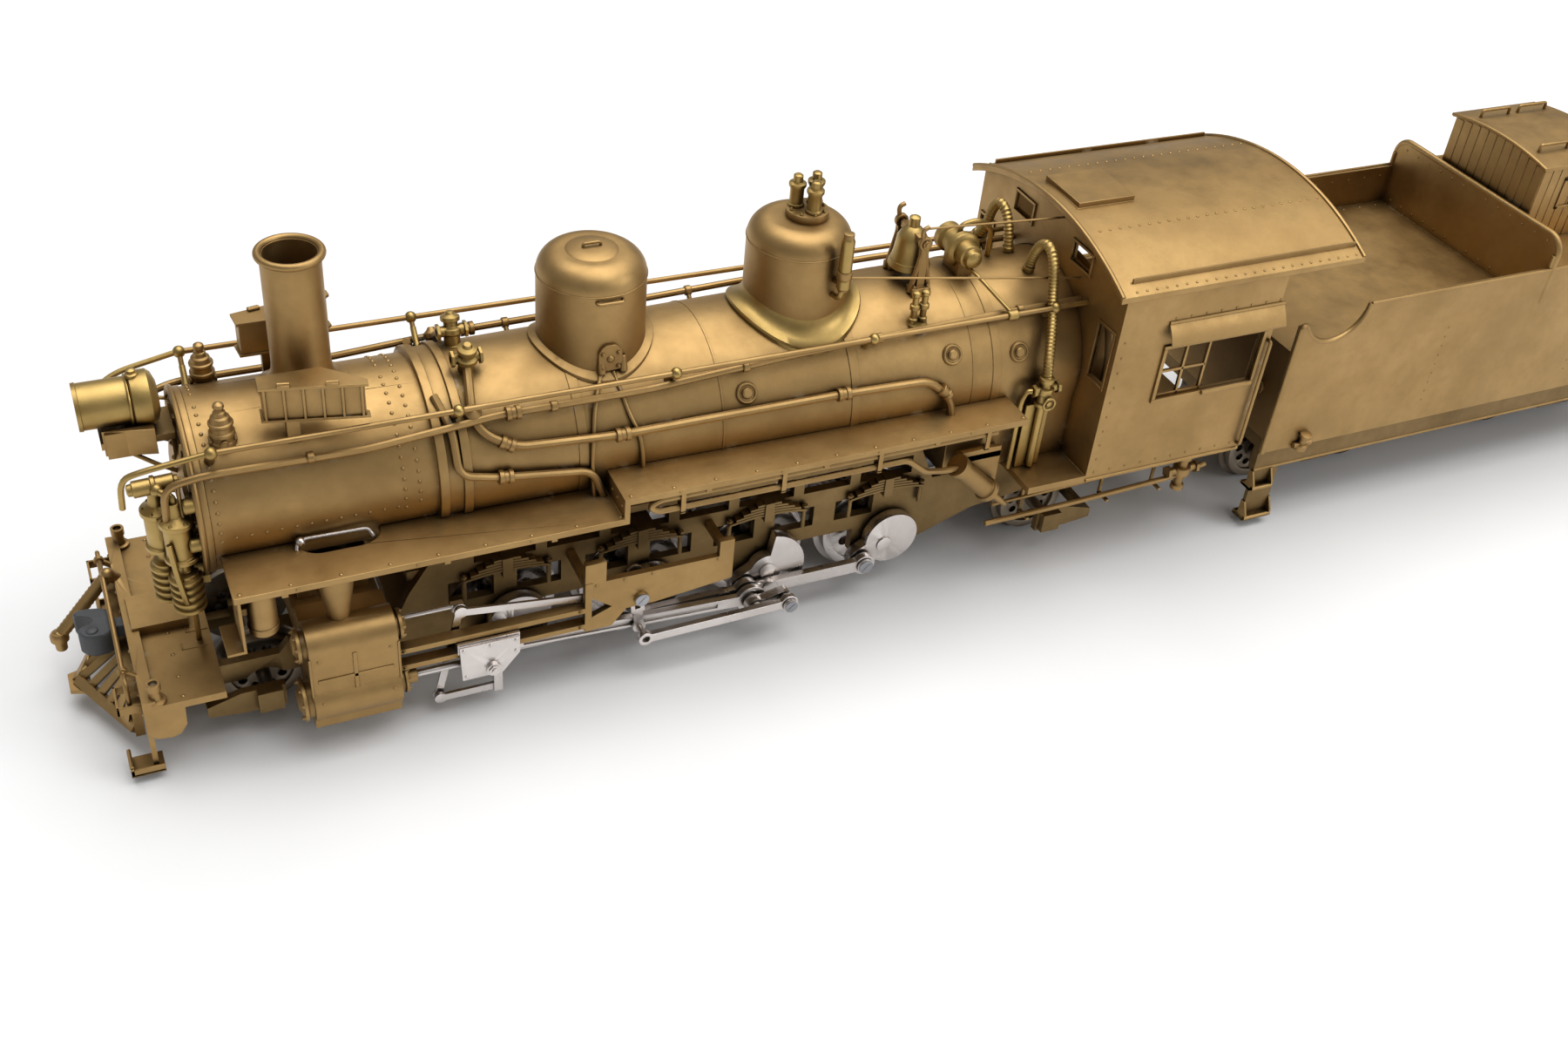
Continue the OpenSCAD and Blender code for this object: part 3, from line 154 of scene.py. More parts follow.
def mix(tree, factor, a, b):
    """Two colours mixed; each is a socket or three numbers."""
    made = node(tree, "ShaderNodeMix")
    made.data_type = "RGBA"
    for number, value in ((MIX_FACTOR, factor), (MIX_A, a), (MIX_B, b)):
        if hasattr(value, "links"):
            tree.links.new(value, made.inputs[number])
        else:
            made.inputs[number].default_value = (*value, 1)
    return made.outputs[MIX_RESULT]


def add_bump(tree, shader, height, strength, depth):
    bump = node(tree, "ShaderNodeBump", Strength=strength, Distance=depth)
    tree.links.new(height, bump.inputs["Height"])
    tree.links.new(bump.outputs["Normal"], shader.inputs["Normal"])


def metal(name, light, dark, shade_colour, rough, bump, streak, seams=None):
    """Tarnished metal: cloudy colour, painted shade darkening the corners, fine brushing and tiny pits."""
    material, tree, shader = new_material(name)
    vector = coords(tree)
    colour = ramp(tree, noise(tree, vector, 90, 5, 0.6), [(0.32, dark), (0.62, light)])
    brushing = ramp(tree, noise(tree, vector, 900, 3, 0.6), [(0.42, 0.0), (0.75, streak)])
    colour = mix(tree, brushing, colour, [c * 0.72 for c in light])
    # painted shade: ambient occlusion darkens corners and recesses towards the shade colour
    corners = node(tree, "ShaderNodeAmbientOcclusion", Distance=0.0022)
    corners.samples = 4
    shade = ramp(tree, corners.outputs["AO"], [(0.25, 1.0), (0.8, 0.0)])
    colour = mix(tree, shade, colour, shade_colour)
    if seams:
        # dull solder run out along the joints
        near = ramp(tree, corners.outputs["AO"], [(0.35, 1.0), (0.62, 0.0)])
        spots = ramp(tree, noise(tree, vector, 420, 4, 0.65), [(0.56, 0.0), (0.66, 1.0)])
        colour = mix(tree, mix(tree, near, (0, 0, 0), spots), colour, seams)
    tree.links.new(colour, shader.inputs["Base Color"])
    shader.inputs["Metallic"].default_value = 1.0
    gloss = ramp(tree, noise(tree, vector, 240, 4, 0.6), [(0.3, rough[0]), (0.7, rough[1])])
    tree.links.new(gloss, shader.inputs["Roughness"])
    add_bump(tree, shader, noise(tree, vector, 2600, 3, 0.6), bump, 0.0002)
    return material


def plastic(name):
    """Dark moulding with a fine grain."""
    material, tree, shader = new_material(name)
    vector = coords(tree)
    dark, light = (0.040, 0.042, 0.045), (0.066, 0.068, 0.072)
    colour = ramp(tree, noise(tree, vector, 300), [(0.3, dark), (0.7, light)])
    tree.links.new(colour, shader.inputs["Base Color"])
    gloss = ramp(tree, noise(tree, vector, 700), [(0.3, 0.42), (0.7, 0.6)])
    tree.links.new(gloss, shader.inputs["Roughness"])
    add_bump(tree, shader, noise(tree, vector, 3000, 3), 0.12, 0.0001)
    return material


# the fourth colour of each metal is the painted shade in its corners
brass = metal("brass_satin", (0.42, 0.27, 0.108), (0.33, 0.207, 0.081), (0.085, 0.052, 0.020),
              (0.42, 0.56), 0.05, 0.35, (0.34, 0.30, 0.23))
# a darker copy of the brass for the parts that stand in shade, the frames, springs, backhead and trucks:
# painted shade
dark_brass = metal("brass_shaded", (0.27, 0.178, 0.075), (0.19, 0.122, 0.05), (0.05, 0.032, 0.014),
                   (0.42, 0.6), 0.07, 0.5)
bright_brass = metal("brass_bright", (0.47, 0.325, 0.115), (0.35, 0.235, 0.08), (0.10, 0.062, 0.022),
                     (0.36, 0.5), 0.06, 0.35)
nickel = metal("nickel_silver", (0.74, 0.69, 0.66), (0.60, 0.55, 0.52), (0.18, 0.15, 0.12),
               (0.22, 0.36), 0.03, 0.15)
steel = metal("screw_steel", (0.40, 0.40, 0.42), (0.28, 0.28, 0.30), (0.08, 0.08, 0.08),
              (0.3, 0.45), 0.05, 0.3)
# small wheels, tarnished brown and darkened further as painted shade of the frames over them
wheel_tarnish_and_shade = metal("wheel_tarnish_and_shade", (0.36, 0.30, 0.23), (0.26, 0.21, 0.155), (0.07, 0.055, 0.04),
                    (0.32, 0.48), 0.05, 0.3)
grey = plastic("grey_moulding")

by_slot = {"brass": brass, "dark_brass": dark_brass, "nickel": nickel, "motor_case": steel,
           "grey_plastic": grey}


# Mesh forms, gathered in layout millimetres


def circle(centre, u, v, r, n, start=0.0):
    """n points round a circle in the plane of u and v; start is in steps."""
    c, u, v = Vector(centre), Vector(u), Vector(v)
    turns = [tau * (i + start) / n for i in range(n)]
    return [c + (u * cos(a) + v * sin(a)) * r for a in turns]


def rounded(points, bend):
    """The path with its corners turned into short curves."""
    pts = [Vector(p) for p in points]
    path = [pts[0]]
    for a, b, c in zip(pts, pts[1:], pts[2:]):
        p = b + (a - b).normalized() * min(bend, (a - b).length * 0.48)
        q = b + (c - b).normalized() * min(bend, (c - b).length * 0.48)
        for i in range(CORNER_STEPS + 1):
            k = i / CORNER_STEPS
            path.append(p * (1 - k) ** 2 + b * 2 * k * (1 - k) + q * k ** 2)
    path.append(pts[-1])
    return path


def even(path, step):
    """Points at an even step along a path."""
    points = [path[0]]
    left = step
    for a, b in zip(path, path[1:]):
        length = (b - a).length
        at = left
        while at < length:
            points.append(a.lerp(b, at / length))
            at += step
        left = at - length
    return points


def soften(ob, width, segments, keep_sharp):
    """Rounded edges, width in millimetres."""
    bevel = ob.modifiers.new("edges", "BEVEL")
    bevel.width = width * MM
    bevel.segments = segments
    bevel.limit_method = "ANGLE"
    bevel.angle_limit = radians(BEVEL_DEG)
    normals = ob.modifiers.new("normals", "WEIGHTED_NORMAL")
    normals.keep_sharp = keep_sharp


class Form:
    """Simple shapes gathered into one mesh."""

    def __init__(self):
        self.verts = []
        self.faces = []

    def rows(self, rows, ring=False):
        """A skin over rows of points; ring joins the last row to the first."""
        n = len(rows[0])
        base = len(self.verts)
        end = base + len(rows) * n
        starts = list(range(base, end, n))
        for a, b in zip(starts, starts[1:] + [base] * ring):
            self.faces += [(a + j, a + (j + 1) % n, b + (j + 1) % n, b + j) for j in range(n)]
        if not ring:
            self.faces += [range(base + n - 1, base - 1, -1), range(end - n, end)]
        self.verts += [Vector(p) for row in rows for p in row]

    def box(self, a, b):
        self.prism([(a[0], a[1]), (b[0], a[1]), (b[0], b[1]), (a[0], b[1])], 2, a[2], b[2])

    def prism(self, outline, axis, low, high):
        """A flat outline, drawn in the two other directions, thick along one axis."""
        def put(p, h):
            q = list(p)
            q.insert(axis, h)
            return q
        self.rows([[put(p, low) for p in outline], [put(p, high) for p in outline]])

    def lathe(self, base, axis, profile, n):
        """Turned shape: the profile lists distance along the axis and radius."""
        d = Vector(axis).normalized()
        u = d.orthogonal().normalized()
        v = d.cross(u)
        self.rows([circle(Vector(base) + d * h, u, v, max(r, 0.01), n) for h, r in profile])

    def rod(self, p, q, r, n=16, edge=0.0):
        h = (Vector(q) - Vector(p)).length
        profile = [(0, r), (h, r)]
        if edge:
            profile = [(0, r - edge), (edge, r), (h - edge, r), (h, r - edge)]
        self.lathe(p, Vector(q) - Vector(p), profile, n)

    def tube(self, points, r, bend=1.0, n=10, rib=None):
        """A pipe along a path; rib gives the pitch and depth of a wrapping."""
        path = rounded(points, bend)
        if rib:
            path = even(path, rib[0] / 2)
        u = (path[1] - path[0]).orthogonal().normalized()
        rows = []
        for i, p in enumerate(path):
            d = (path[min(i + 1, len(path) - 1)] - path[max(i - 1, 0)]).normalized()
            u = (u - d * u.dot(d)).normalized()
            swell = rib[1] if rib and i % 2 else 0
            rows.append(circle(p, u, d.cross(u), r + swell, n))
        self.rows(rows)

    def staple(self, p, q, out, r, bend):
        """A bar with its feet at p and q, standing out by a vector."""
        p, q, out = Vector(p), Vector(q), Vector(out)
        self.tube([p, p + out, q + out, q], r, bend, 8)

    def ball(self, c, r):
        half = [pi * i / 8 for i in range(9)]
        self.lathe(c, UP, [(-r * cos(a), r * sin(a)) for a in half], 16)

    def hoop(self, c, axis, radius, r, n, m):
        """A ring of round wire."""
        d = Vector(axis).normalized()
        u = d.orthogonal().normalized()
        ring = circle(c, u, d.cross(u), radius, n)
        self.rows([circle(p, (p - Vector(c)).normalized(), d, r, m) for p in ring], True)

    def band(self, x0, x1, r0, r1, n=96):
        """A square-edged ring round the boiler."""
        corners = ((x0, r0), (x1, r0), (x1, r1), (x0, r1))
        rings = [circle((x, 0, BOILER_Z), RIGHT, UP, r, n) for x, r in corners]
        self.rows(list(zip(*rings)), True)

    def rivet(self, p, normal, r):
        self.lathe(p, normal, [(-0.1, r), (0.02, r), (r * 0.4, r * 0.75), (r * 0.6, r * 0.3)], 10)

    def rivets(self, first, step, count, normal, r):
        """A straight row of rivets."""
        for i in range(count):
            self.rivet(Vector(first) + Vector(step) * i, normal, r)

    def nut(self, p, normal, r, h):
        self.lathe(p, normal, [(-0.15, r), (h, r)], 6)
        self.lathe(p, normal, [(h - 0.1, r * 0.55), (h + 0.12, r * 0.5)], 10)

    def screw(self, p, normal, r, h):
        """A cheese-head screw with its slot."""
        n = Vector(normal).normalized()
        u = n.orthogonal().normalized()
        self.lathe(p, n, [(-0.1, r), (h * 0.7, r), (h, r * 0.85), (h, r * 0.84), (h * 0.96, r * 0.2)], 24)
        c = Vector(p) + n * h
        v = n.cross(u)
        side = [c + u * a * r * 0.8 + v * b * r * 0.13 for a, b in ((-1, -1), (1, -1), (1, 1), (-1, 1))]
        self.rows([[q - n * 0.02 for q in side], [q + n * 0.03 for q in side]])

    def make(self, name, body, material, both=False, edge=0.03):
        """The finished piece on its body; both adds the mirror image on the other side."""
        middle = Vector((MID, 0, 0))
        verts = [(p - middle) * MM for p in self.verts]
        faces = [list(f) for f in self.faces]
        if both:
            k = len(verts)
            verts += [Vector((p.x, -p.y, p.z)) for p in verts]
            faces += [[k + i for i in reversed(f)] for f in faces]
        mesh = bpy.data.meshes.new(name)
        mesh.from_pydata(verts, [], faces)
        bm = bmesh.new()
        bm.from_mesh(mesh)
        bmesh.ops.recalc_face_normals(bm, faces=bm.faces)
        bm.to_mesh(mesh)
        bm.free()
        mesh.polygons.foreach_set("use_smooth", [True] * len(mesh.polygons))
        mesh.set_sharp_from_angle(angle=radians(SHARP_DEG))
        mesh.materials.append(material)
        ob = bpy.data.objects.new(name, mesh)
        scene.collection.objects.link(ob)
        if edge:
            soften(ob, edge, 1, True)
        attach(ob, body)
        return ob


def piece(material, body="engine", both=False, edge=0.03):
    """Makes a piece, named after the function that draws its form."""
    def build(draw):
        form = Form()
        draw(form)
        return form.make(draw.__name__, body, material, both, edge)
    return build


def pair(material, body="engine", edge=0.03):
    """Makes a piece with its mirror image on the other side."""
    return piece(material, body, True, edge)


# Finish of the CAD nodes

slot_of = {s["node"]: s["material_slot"] for s in frame["record"]["subparts"]}
for name, ob in nodes.items():
    ob.data.materials.clear()
    ob.data.materials.append(wheel_tarnish_and_shade if "wheelset" in name else by_slot[slot_of[name]])
    weld = ob.modifiers.new("weld", "WELD")
    weld.merge_threshold = 1e-6
    soften(ob, 0.07, 2, False)


# Places on the boiler, the axles and the roof


def barrel_r(x):
    """Radius of the boiler at x."""
    if x < JOINT_X:
        return SMOKEBOX_R
    return BARREL_R + TAPER * min((x - JOINT_X) / (TAPER_END - JOINT_X), 1)


def outward(deg):
    a = radians(deg)
    return Vector((0, cos(a), sin(a)))


def skin(x, deg, lift=0.0):
    """A point on the boiler, deg above its right-hand horizon."""
    return Vector((x, 0, BOILER_Z)) + outward(deg) * (barrel_r(x) + lift)


def bearing(y, z):
    """Degrees above the boiler's horizon of a point beside it."""
    return degrees(atan2(z - BOILER_Z, y))


def axle_x(n):
    """Place of a coupled axle, counted from 1 at the front."""
    return MAIN_AXLE_X + (n - 3) * AXLE_PITCH


def roof_point(x, y, lift=0.0):
    return Vector((x, y, ROOF_AXIS + sqrt((ROOF_R + lift) ** 2 - y * y)))


def rim(low, high, w):
    """The four strips round an opening, as pairs of corners in its plane."""
    (u0, v0), (u1, v1) = low, high
    return (((u0 - w, v0 - w), (u1 + w, v0)), ((u0 - w, v1), (u1 + w, v1 + w)),
            ((u0 - w, v0), (u0, v1)), ((u1, v0), (u1 + w, v1)))


# Boiler fittings


@pair(brass, edge=0)
def smokebox_rivets(f):
    for x, first in ((-49.7, -8), (-32.8, -8), (-31.4, -4.5)):
        for i in range(14):
            deg = first + 7 * i
            f.rivet(skin(x, deg), outward(deg), 0.19)
    low = -6.5
    f.rivets(skin(-48.4, low), (1.35, 0, 0), 12, outward(low), 0.17)


@piece(brass)
def boiler_bands(f):
    for half, lift, places in ((0.5, 0.07, (-15.3, 14.2, 31.1)), (0.12, 0.05, (-0.6, 28.2))):
        for x in places:
            r = barrel_r(x)
            f.band(x - half, x + half, r - 0.1, r + lift)


@pair(brass)
def washout_plugs(f):
    plug = [(-0.3, 1.15), (0.12, 1.15), (0.26, 1.02), (0.26, 0.9), (0.12, 0.78), (0.1, 0.6), (0.34, 0.56),
            (0.46, 0.42), (0.46, 0.1)]
    for x, deg in ((2.06, 29), (25.7, 30), (33.9, 24.3)):
        f.lathe(skin(x, deg), outward(deg), plug, 28)


@pair(brass)
def boiler_piping(f):
    """The pipes along both boiler sides, with their unions, clips and valves."""
    upper = [(-54, 7.4, 25), (-53.8, 7.5, 29.6), (-50.5, 7.9, 30.5), (-36, 8.1, 30.4), (-23.4, 7.8, 31.4),
             (-8.2, 8, 31.5), (7.5, 7.6, 32.3), (21.2, 7.6, 32.7), (33, 7.3, 32.9), (42, 7.2, 32.9)]
    f.tube(upper, 0.36, 1.5)
    clips = ((-41, 8.02, 30.6), (-18, 7.88, 31.43), (2, 7.75, 32), (17.1, 7.6, 32.57), (34.1, 7.3, 32.9))
    for x, y, z in clips:
        f.rod(skin(x, bearing(y, z), -0.2), (x, y, z), 0.26)
        f.rod((x - 0.35, y, z), (x + 0.35, y, z), 0.55, 16, 0.08)
    lower = [(-24.9, 2.6, 34.5), (-25.4, 5, 33.3), (-25.8, 7.2, 31.3), (-24.9, 8.3, 29.8),
             (-22.1, 9.05, 28.3), (-11.7, 9.45, 27.8), (11.9, 9.8, 28), (22.5, 10.05, 27.8),
             (25, 10.6, 25.4), (25.2, 11, 23.6)]
    f.tube(lower, 0.45, 1.4)
    feed = [(-28.8, 4.9, 32.85), (-27.9, 7.6, 30.6), (-27.8, 9.5, 26.4), (-24, 9.7, 25.6),
            (-14.7, 9.85, 24.4), (-13.6, 10.2, 21.3)]
    f.tube(feed, 0.4, 1.3)
    union = [(-0.75, 0.48), (-0.7, 0.72), (-0.25, 0.72), (-0.22, 0.6), (0.22, 0.6), (0.25, 0.72),
             (0.7, 0.72), (0.75, 0.48)]
    unions = (((-11.5, 9.46, 27.8), REAR), ((12.4, 9.81, 28), REAR), ((-23.4, 9.7, 25.55), (1, 0, -0.1)),
              ((-22, 7.81, 31.42), REAR), ((-22.9, 8.8, 28.7), (1, 0.3, -0.5)),
              ((24.3, 10.4, 26.3), (1, 0.2, -1)))
    for place, way in unions:
        f.lathe(place, way, union, 14)
    valve = [(-0.4, 0.5), (0, 0.85), (0.5, 0.85), (0.8, 0.5), (1.1, 0.3)]
    f.lathe((-25.7, 7, 31.5), (0, 0.6, 1), valve, 12)


@pair(bright_brass)
def feed_check(f):
    x, y, z = -24.9, 2.5, 34.9
    body = [(-1.4, 1.3), (-0.9, 1.3), (-0.8, 0.8), (0.2, 0.8), (0.4, 1.05), (0.9, 1.05), (1.1, 0.7),
            (1.6, 0.7), (1.7, 0.95), (2.1, 0.95), (2.3, 0.5), (2.6, 0.35)]
    f.lathe((x, y, z - 0.7), (0, 0.24, 0.97), body, 20)
    f.rod((x - 1.5, y, z), (x + 1.5, y, z), 0.55, 14, 0.1)
    for nut_x in (x - 1.5, x + 1.2):
        f.rod((nut_x, y, z), (nut_x + 0.3, y, z), 0.85, 6)


@pair(brass)
def sand_gear(f):
    """Sand pipes with their trap box and a handle on the dome."""
    front = [(-12.3, 5.3, 32.9), (-13.9, 7.9, 30.3), (-14.5, 9.45, 26.6), (-14.6, 9.6, 24.5),
             (-14.5, 10, 21.3)]
    rear = [(-11.2, 5.5, 32.6), (-10.4, 8.5, 29.1), (-9.6, 9.35, 27.2), (-9.4, 9.7, 25.2), (-9.4, 9.9, 23.6)]
    for route in (front, rear):
        f.tube(route, 0.24, 1.2, 8)
    for x in (-12.4, -10.2):
        f.rod((x, 5.25, 34.2), (x, 5.75, 32.6), 0.42, 12, 0.08)
    # trap box with a rounded head, bolted to the dome
    face = 5.75
    f.prism([(-12.75, 32.9), (-10.35, 32.9), (-10.35, 34.9), (-10.75, 35.5), (-11.1, 35.75), (-12, 35.75),
             (-12.4, 35.5), (-12.75, 34.9)], 1, 5, face)
    for x in (-12.35, -10.75):
        for z in (33.3, 34.8):
            f.nut((x, face, z), RIGHT, 0.24, 0.2)
    f.rivet((-11.55, face, 34.2), RIGHT, 0.42)
    z = 40.4
    f.staple((-12.9, 5.1, z), (-10.3, 5.1, z), (0, 0.65, 0), 0.17, 0.35)


@piece(brass)
def dome_lids(f):
    """Filler lid on the sand dome, and the turned rings of both domes."""
    x, z = SAND_DOME_X, 43.05
    lid = [(-0.3, 2.6), (0.15, 2.6), (0.3, 2.35), (0.42, 1.2), (0.45, 0.4)]
    f.lathe((x, 0, z), UP, lid, 40)
    f.staple((x - 0.9, 0, z + 0.25), (x + 0.9, 0, z + 0.25), (0, 0, 0.55), 0.15, 0.3)
    for ring_x, ring_z in ((SAND_DOME_X, 40.9), (STEAM_DOME_X, 41.3)):
        f.hoop((ring_x, 0, ring_z), UP, 5.4, 0.09, 64, 8)


def flared_foot(x, profile, n):
    """Rows of a foot that follows the boiler; the profile lists radius and height over its skin."""
    rows = []
    for radius, lift in profile:
        row = []
        for p in circle((x, 0, 0), REAR, RIGHT, radius, n):
            row.append((p.x, p.y, BOILER_Z + sqrt((barrel_r(p.x) + lift) ** 2 - p.y * p.y)))
        rows.append(row)
    rows.append([(px, py, pz - 0.3) for px, py, pz in rows[-1]])
    return rows


@piece(bright_brass, edge=0)
def steam_dome_foot(f):
    profile = ((5.35, 1.9), (5.45, 1.35), (5.75, 0.9), (6.3, 0.62), (6.95, 0.58), (7.05, 0.4), (6.95, 0))
    f.rows(flared_foot(STEAM_DOME_X, profile, 72))


@piece(brass, edge=0)
def chimney_trim(f):
    profile = ((2.7, 2.4), (2.8, 1.6), (3.1, 1), (3.6, 0.66), (4.1, 0.5), (4.15, 0.3), (4.1, 0))
    f.rows(flared_foot(CHIMNEY_X, profile, 56))


@piece(bright_brass)
def pop_valves(f):
    z = 44.4
    pop = [(0, 0.85), (0.3, 0.85), (0.35, 0.7), (1.9, 0.72), (2.2, 0.9), (2.5, 0.9), (2.6, 0.5), (3.3, 0.5),
           (3.45, 0.3)]
    for x, y in ((10.3, 0.9), (12.4, 0.9), (11.4, -1)):
        f.lathe((x, y, z), UP, pop, 20)
    for p in circle((11.2, 0, z), REAR, RIGHT, 1.8, 8):
        f.nut(p, UP, 0.2, 0.18)
    # whistle on its bracket
    x, y, foot = 12.8, -6.3, 38.2
    whistle = [(0, 0.35), (0.3, 0.72), (1.3, 0.72), (1.5, 0.45), (1.9, 0.45), (2, 0.68), (5.6, 0.68),
               (6, 0.5), (6.4, 0.2)]
    f.lathe((x, y, foot), UP, whistle, 20)
    f.tube([(x - 0.6, -4.6, foot - 1), (x - 0.3, y, foot - 1), (x, y, foot + 0.4)], 0.3, 0.7, 10)


@piece(bright_brass)
def generator_trim(f):
    x, z = 30.2, 37.1
    case = [(0, 0.5), (0.25, 0.95), (0.9, 1), (1, 1.3), (2.3, 1.36), (2.4, 1.75), (2.6, 1.98), (3.3, 1.98),
            (3.5, 1.75), (3.6, 1.3), (5.2, 1.3), (5.4, 1.62), (6.3, 1.62), (6.5, 1.3), (6.6, 0.5)]
    f.lathe((x, -3.3, z), RIGHT, case, 36)
    for p in circle((x, -0.72, z), REAR, UP, 1.75, 10):
        f.rivet(p, LEFT, 0.15)
    exhaust = [(x, 0.6, z + 1.2), (x, 0.6, z + 2.4), (x + 2.2, 0.6, z + 2.7), (x + 4.4, 1.2, z + 1),
               (x + 5, 2, 34.2)]
    f.tube(exhaust, 0.3, 0.9)
    # drain to the left handrail
    f.tube([(x - 0.4, -1.6, z - 1), (x + 0.2, -4, z - 1.4), (32.4, -8.4, 33.4)], 0.22, 0.8, 8)
    f.rod((31.8, -RAIL_Y, RAIL_Z), (33, -RAIL_Y, RAIL_Z), 0.55, 16, 0.1)


@pair(bright_brass, edge=0)
def wrapped_pipes(f):
    """Lagged steam pipes ahead of the cab."""
    hose = [(38, 2.1, 34.2), (38, 2.6, 36.4), (38, 3.6, 38.3), (38, 5.2, 38.9), (38, 6.5, 37.6),
            (38, 7.2, 34.8), (37.4, 9.3, 31.2), (36.6, 10.9, 28.4), (36.6, 11.3, 26.2)]
    f.tube(hose, 0.5, 1.2, 12, (0.4, 0.1))


@pair(bright_brass)
def injectors(f):
    flange = [(0, 0.75), (0.3, 0.75), (0.4, 0.55), (0.9, 0.55), (1, 0.7), (1.3, 0.7)]
    f.lathe((38, 2.1, 33.6), (0, 0.1, 1), flange, 14)
    x, y, z = 36.6, 11.3, 24.8
    foot = 14.4
    body = [(0, 0.5), (0.1, 0.85), (0.6, 0.85), (0.7, 0.6), (1.2, 0.6), (1.3, 1), (2, 1), (2.2, 0.7),
            (3.1, 0.7), (3.2, 0.95), (3.6, 0.95), (3.7, 0.45), (11.8, 0.42)]
    f.lathe((x, y, z + 1.6), DOWN, body, 20)
    f.rod((35, y, z), (38.4, y, z), 0.45, 14, 0.1)
    for nut_x in (35, 38):
        f.rod((nut_x, y, z), (nut_x + 0.4, y, z), 0.72, 6)
    f.rod((x, y, z - 1.2), (x, y + 1.3, z - 1.2), 0.3, 12)
    f.hoop((x, y + 1.3, z - 1.2), RIGHT, 0.7, 0.16, 24, 8)
    f.tube([(35, y, z), (34.4, 11.1, z), (34.2, 10.8, 23.4), (34.2, 10.8, foot)], 0.3, 0.6)
    # upright plate that closes the end of the running board
    f.box((34.9, 10.7, foot), (37.9, 11, 22.7))


@pair(brass)
def cooling_loop(f):
    y = 13.9
    loop = [(29.5, y, 22.4), (-9.2, y, 22.4), (-10.2, y, 21.75), (-9.2, y, 21), (18.8, y, 21),
            (21.4, y - 0.3, 18.7), (24.5, 12.6, 17.4), (26.9, 12.2, 17)]
    f.tube(loop, 0.36, 0.6)
    for x in (-7, 4, 15, 28):
        f.box((x, y - 0.5, 20.5), (x + 0.5, y + 0.5, 20.75))
        f.box((x, y - 0.5, 20.6), (x + 0.5, y - 0.35, 23.1))
        f.box((x, y + 0.35, 20.6), (x + 0.5, y + 0.5, 23.1))


@pair(brass)
def brake_cylinders(f):
    upper, lower = Vector((26.7, 12, 17.1)), Vector((34.2, 12, 9.9))
    cylinder = [(-0.4, 0.5), (-0.3, 1.35), (0.5, 1.35), (0.6, 1.15), (5.6, 1.15), (5.7, 1.4), (6.4, 1.4),
                (6.6, 0.5), (8.2, 0.45), (10, 0.3)]
    f.lathe(upper, lower - upper, cylinder, 24)
    x0, x1 = 27.6, 32.6
    f.prism([(x0, 17.6), (x1, 12.6), (x1, 18), (x0, 18)], 1, 10.6, 11.1)
    f.box((x0, 9.4, 16.6), (x1, 11.1, 17.4))


@pair(bright_brass)
def rail_fittings(f):
    """Ball posts of the handrails, and the rails' bent front ends."""
    deg = bearing(RAIL_Y, RAIL_Z)
    for x in (-49.5, -27.4, -5.8, 15.9, 37.8):
        f.ball((x, RAIL_Y, RAIL_Z), 0.6)
        f.lathe(skin(x, deg, -0.1), outward(deg), [(0, 0.5), (0.25, 0.45), (0.6, 0.32), (2.2, 0.3)], 14)
    f.tube([(-49.8, RAIL_Y, RAIL_Z), (-55.4, 8.2, 32.3), (-57.2, 7.6, 31.4), (-57.4, 7.5, 28.2)], 0.28, 1.5)
    f.tube([(39.9, RAIL_Y, RAIL_Z), (CAB_FRONT, RAIL_Y, RAIL_Z)], 0.28)


@piece(brass, edge=0)
def control_wires(f):
    """Wires from the bell and the whistle to the cab."""
    f.tube([(24.2, -2.7, 41.6), (32, -2.3, 40.9), (CAB_FRONT, -1.8, 40)], 0.13, 2, 6)
    f.tube([(12.9, -6.3, 39.6), (26, -6.3, 37.5), (CAB_FRONT, -6.3, 35)], 0.13, 3, 6)


@piece(bright_brass)
def valve_pair(f):
    y = -6
    valve = [(0, 0.5), (1, 0.5), (1.1, 0.35), (2, 0.35), (2.1, 0.55), (2.6, 0.55), (2.7, 0.35), (3.6, 0.35),
             (3.7, 0.48), (4.1, 0.48), (4.3, 0.2)]
    for x in (21.8, 22.9):
        f.lathe((x, y, 32.2), UP, valve, 14)
    f.lathe((22.35, y, 31.9), UP, [(0, 1.1), (0.7, 1.1), (0.9, 0.6)], 20)


@piece(bright_brass, "bell")
def bell_shell(f):
    x, z = BELL_X, BELL_Z
    shell = [(-1.9, 0.25), (-1.7, 0.6), (-0.7, 0.6), (-0.5, 0.9), (0, 1.35), (0.6, 1.66), (1.4, 1.75),
             (2.2, 1.84), (3, 2.05), (3.5, 2.26), (3.8, 2.3), (3.85, 2.2), (3.2, 1.8), (2, 1.4)]
    f.lathe((x, 0, z), DOWN, shell, 40)
    f.hoop((x, 0, z - 3.1), UP, 2.06, 0.07, 40, 8)


@piece(brass)
def bell_brackets(f):
    x, z = BELL_X, BELL_Z
    for s in SIDES:
        y = s * 2.7
        for d in (-1, 1):
            f.tube([(x + d * 1.1, y, z - 5.6), (x + d * 0.5, y, z - 2.5), (x, y, z + 0.1)], 0.28, 1)
            f.nut((x + d * 0.8, s * 3.1, z - 5), UP, 0.22, 0.2)
        f.nut((x, s * 2.95, z), (0, s, 0), 0.5, 0.25)
        f.tube([(x - 0.3, y, z + 0.4), (x - 0.5, y, z + 1.6), (x + 0.2, y, z + 1.9)], 0.26, 0.5, 8)


# Boards and lamps of the smokebox


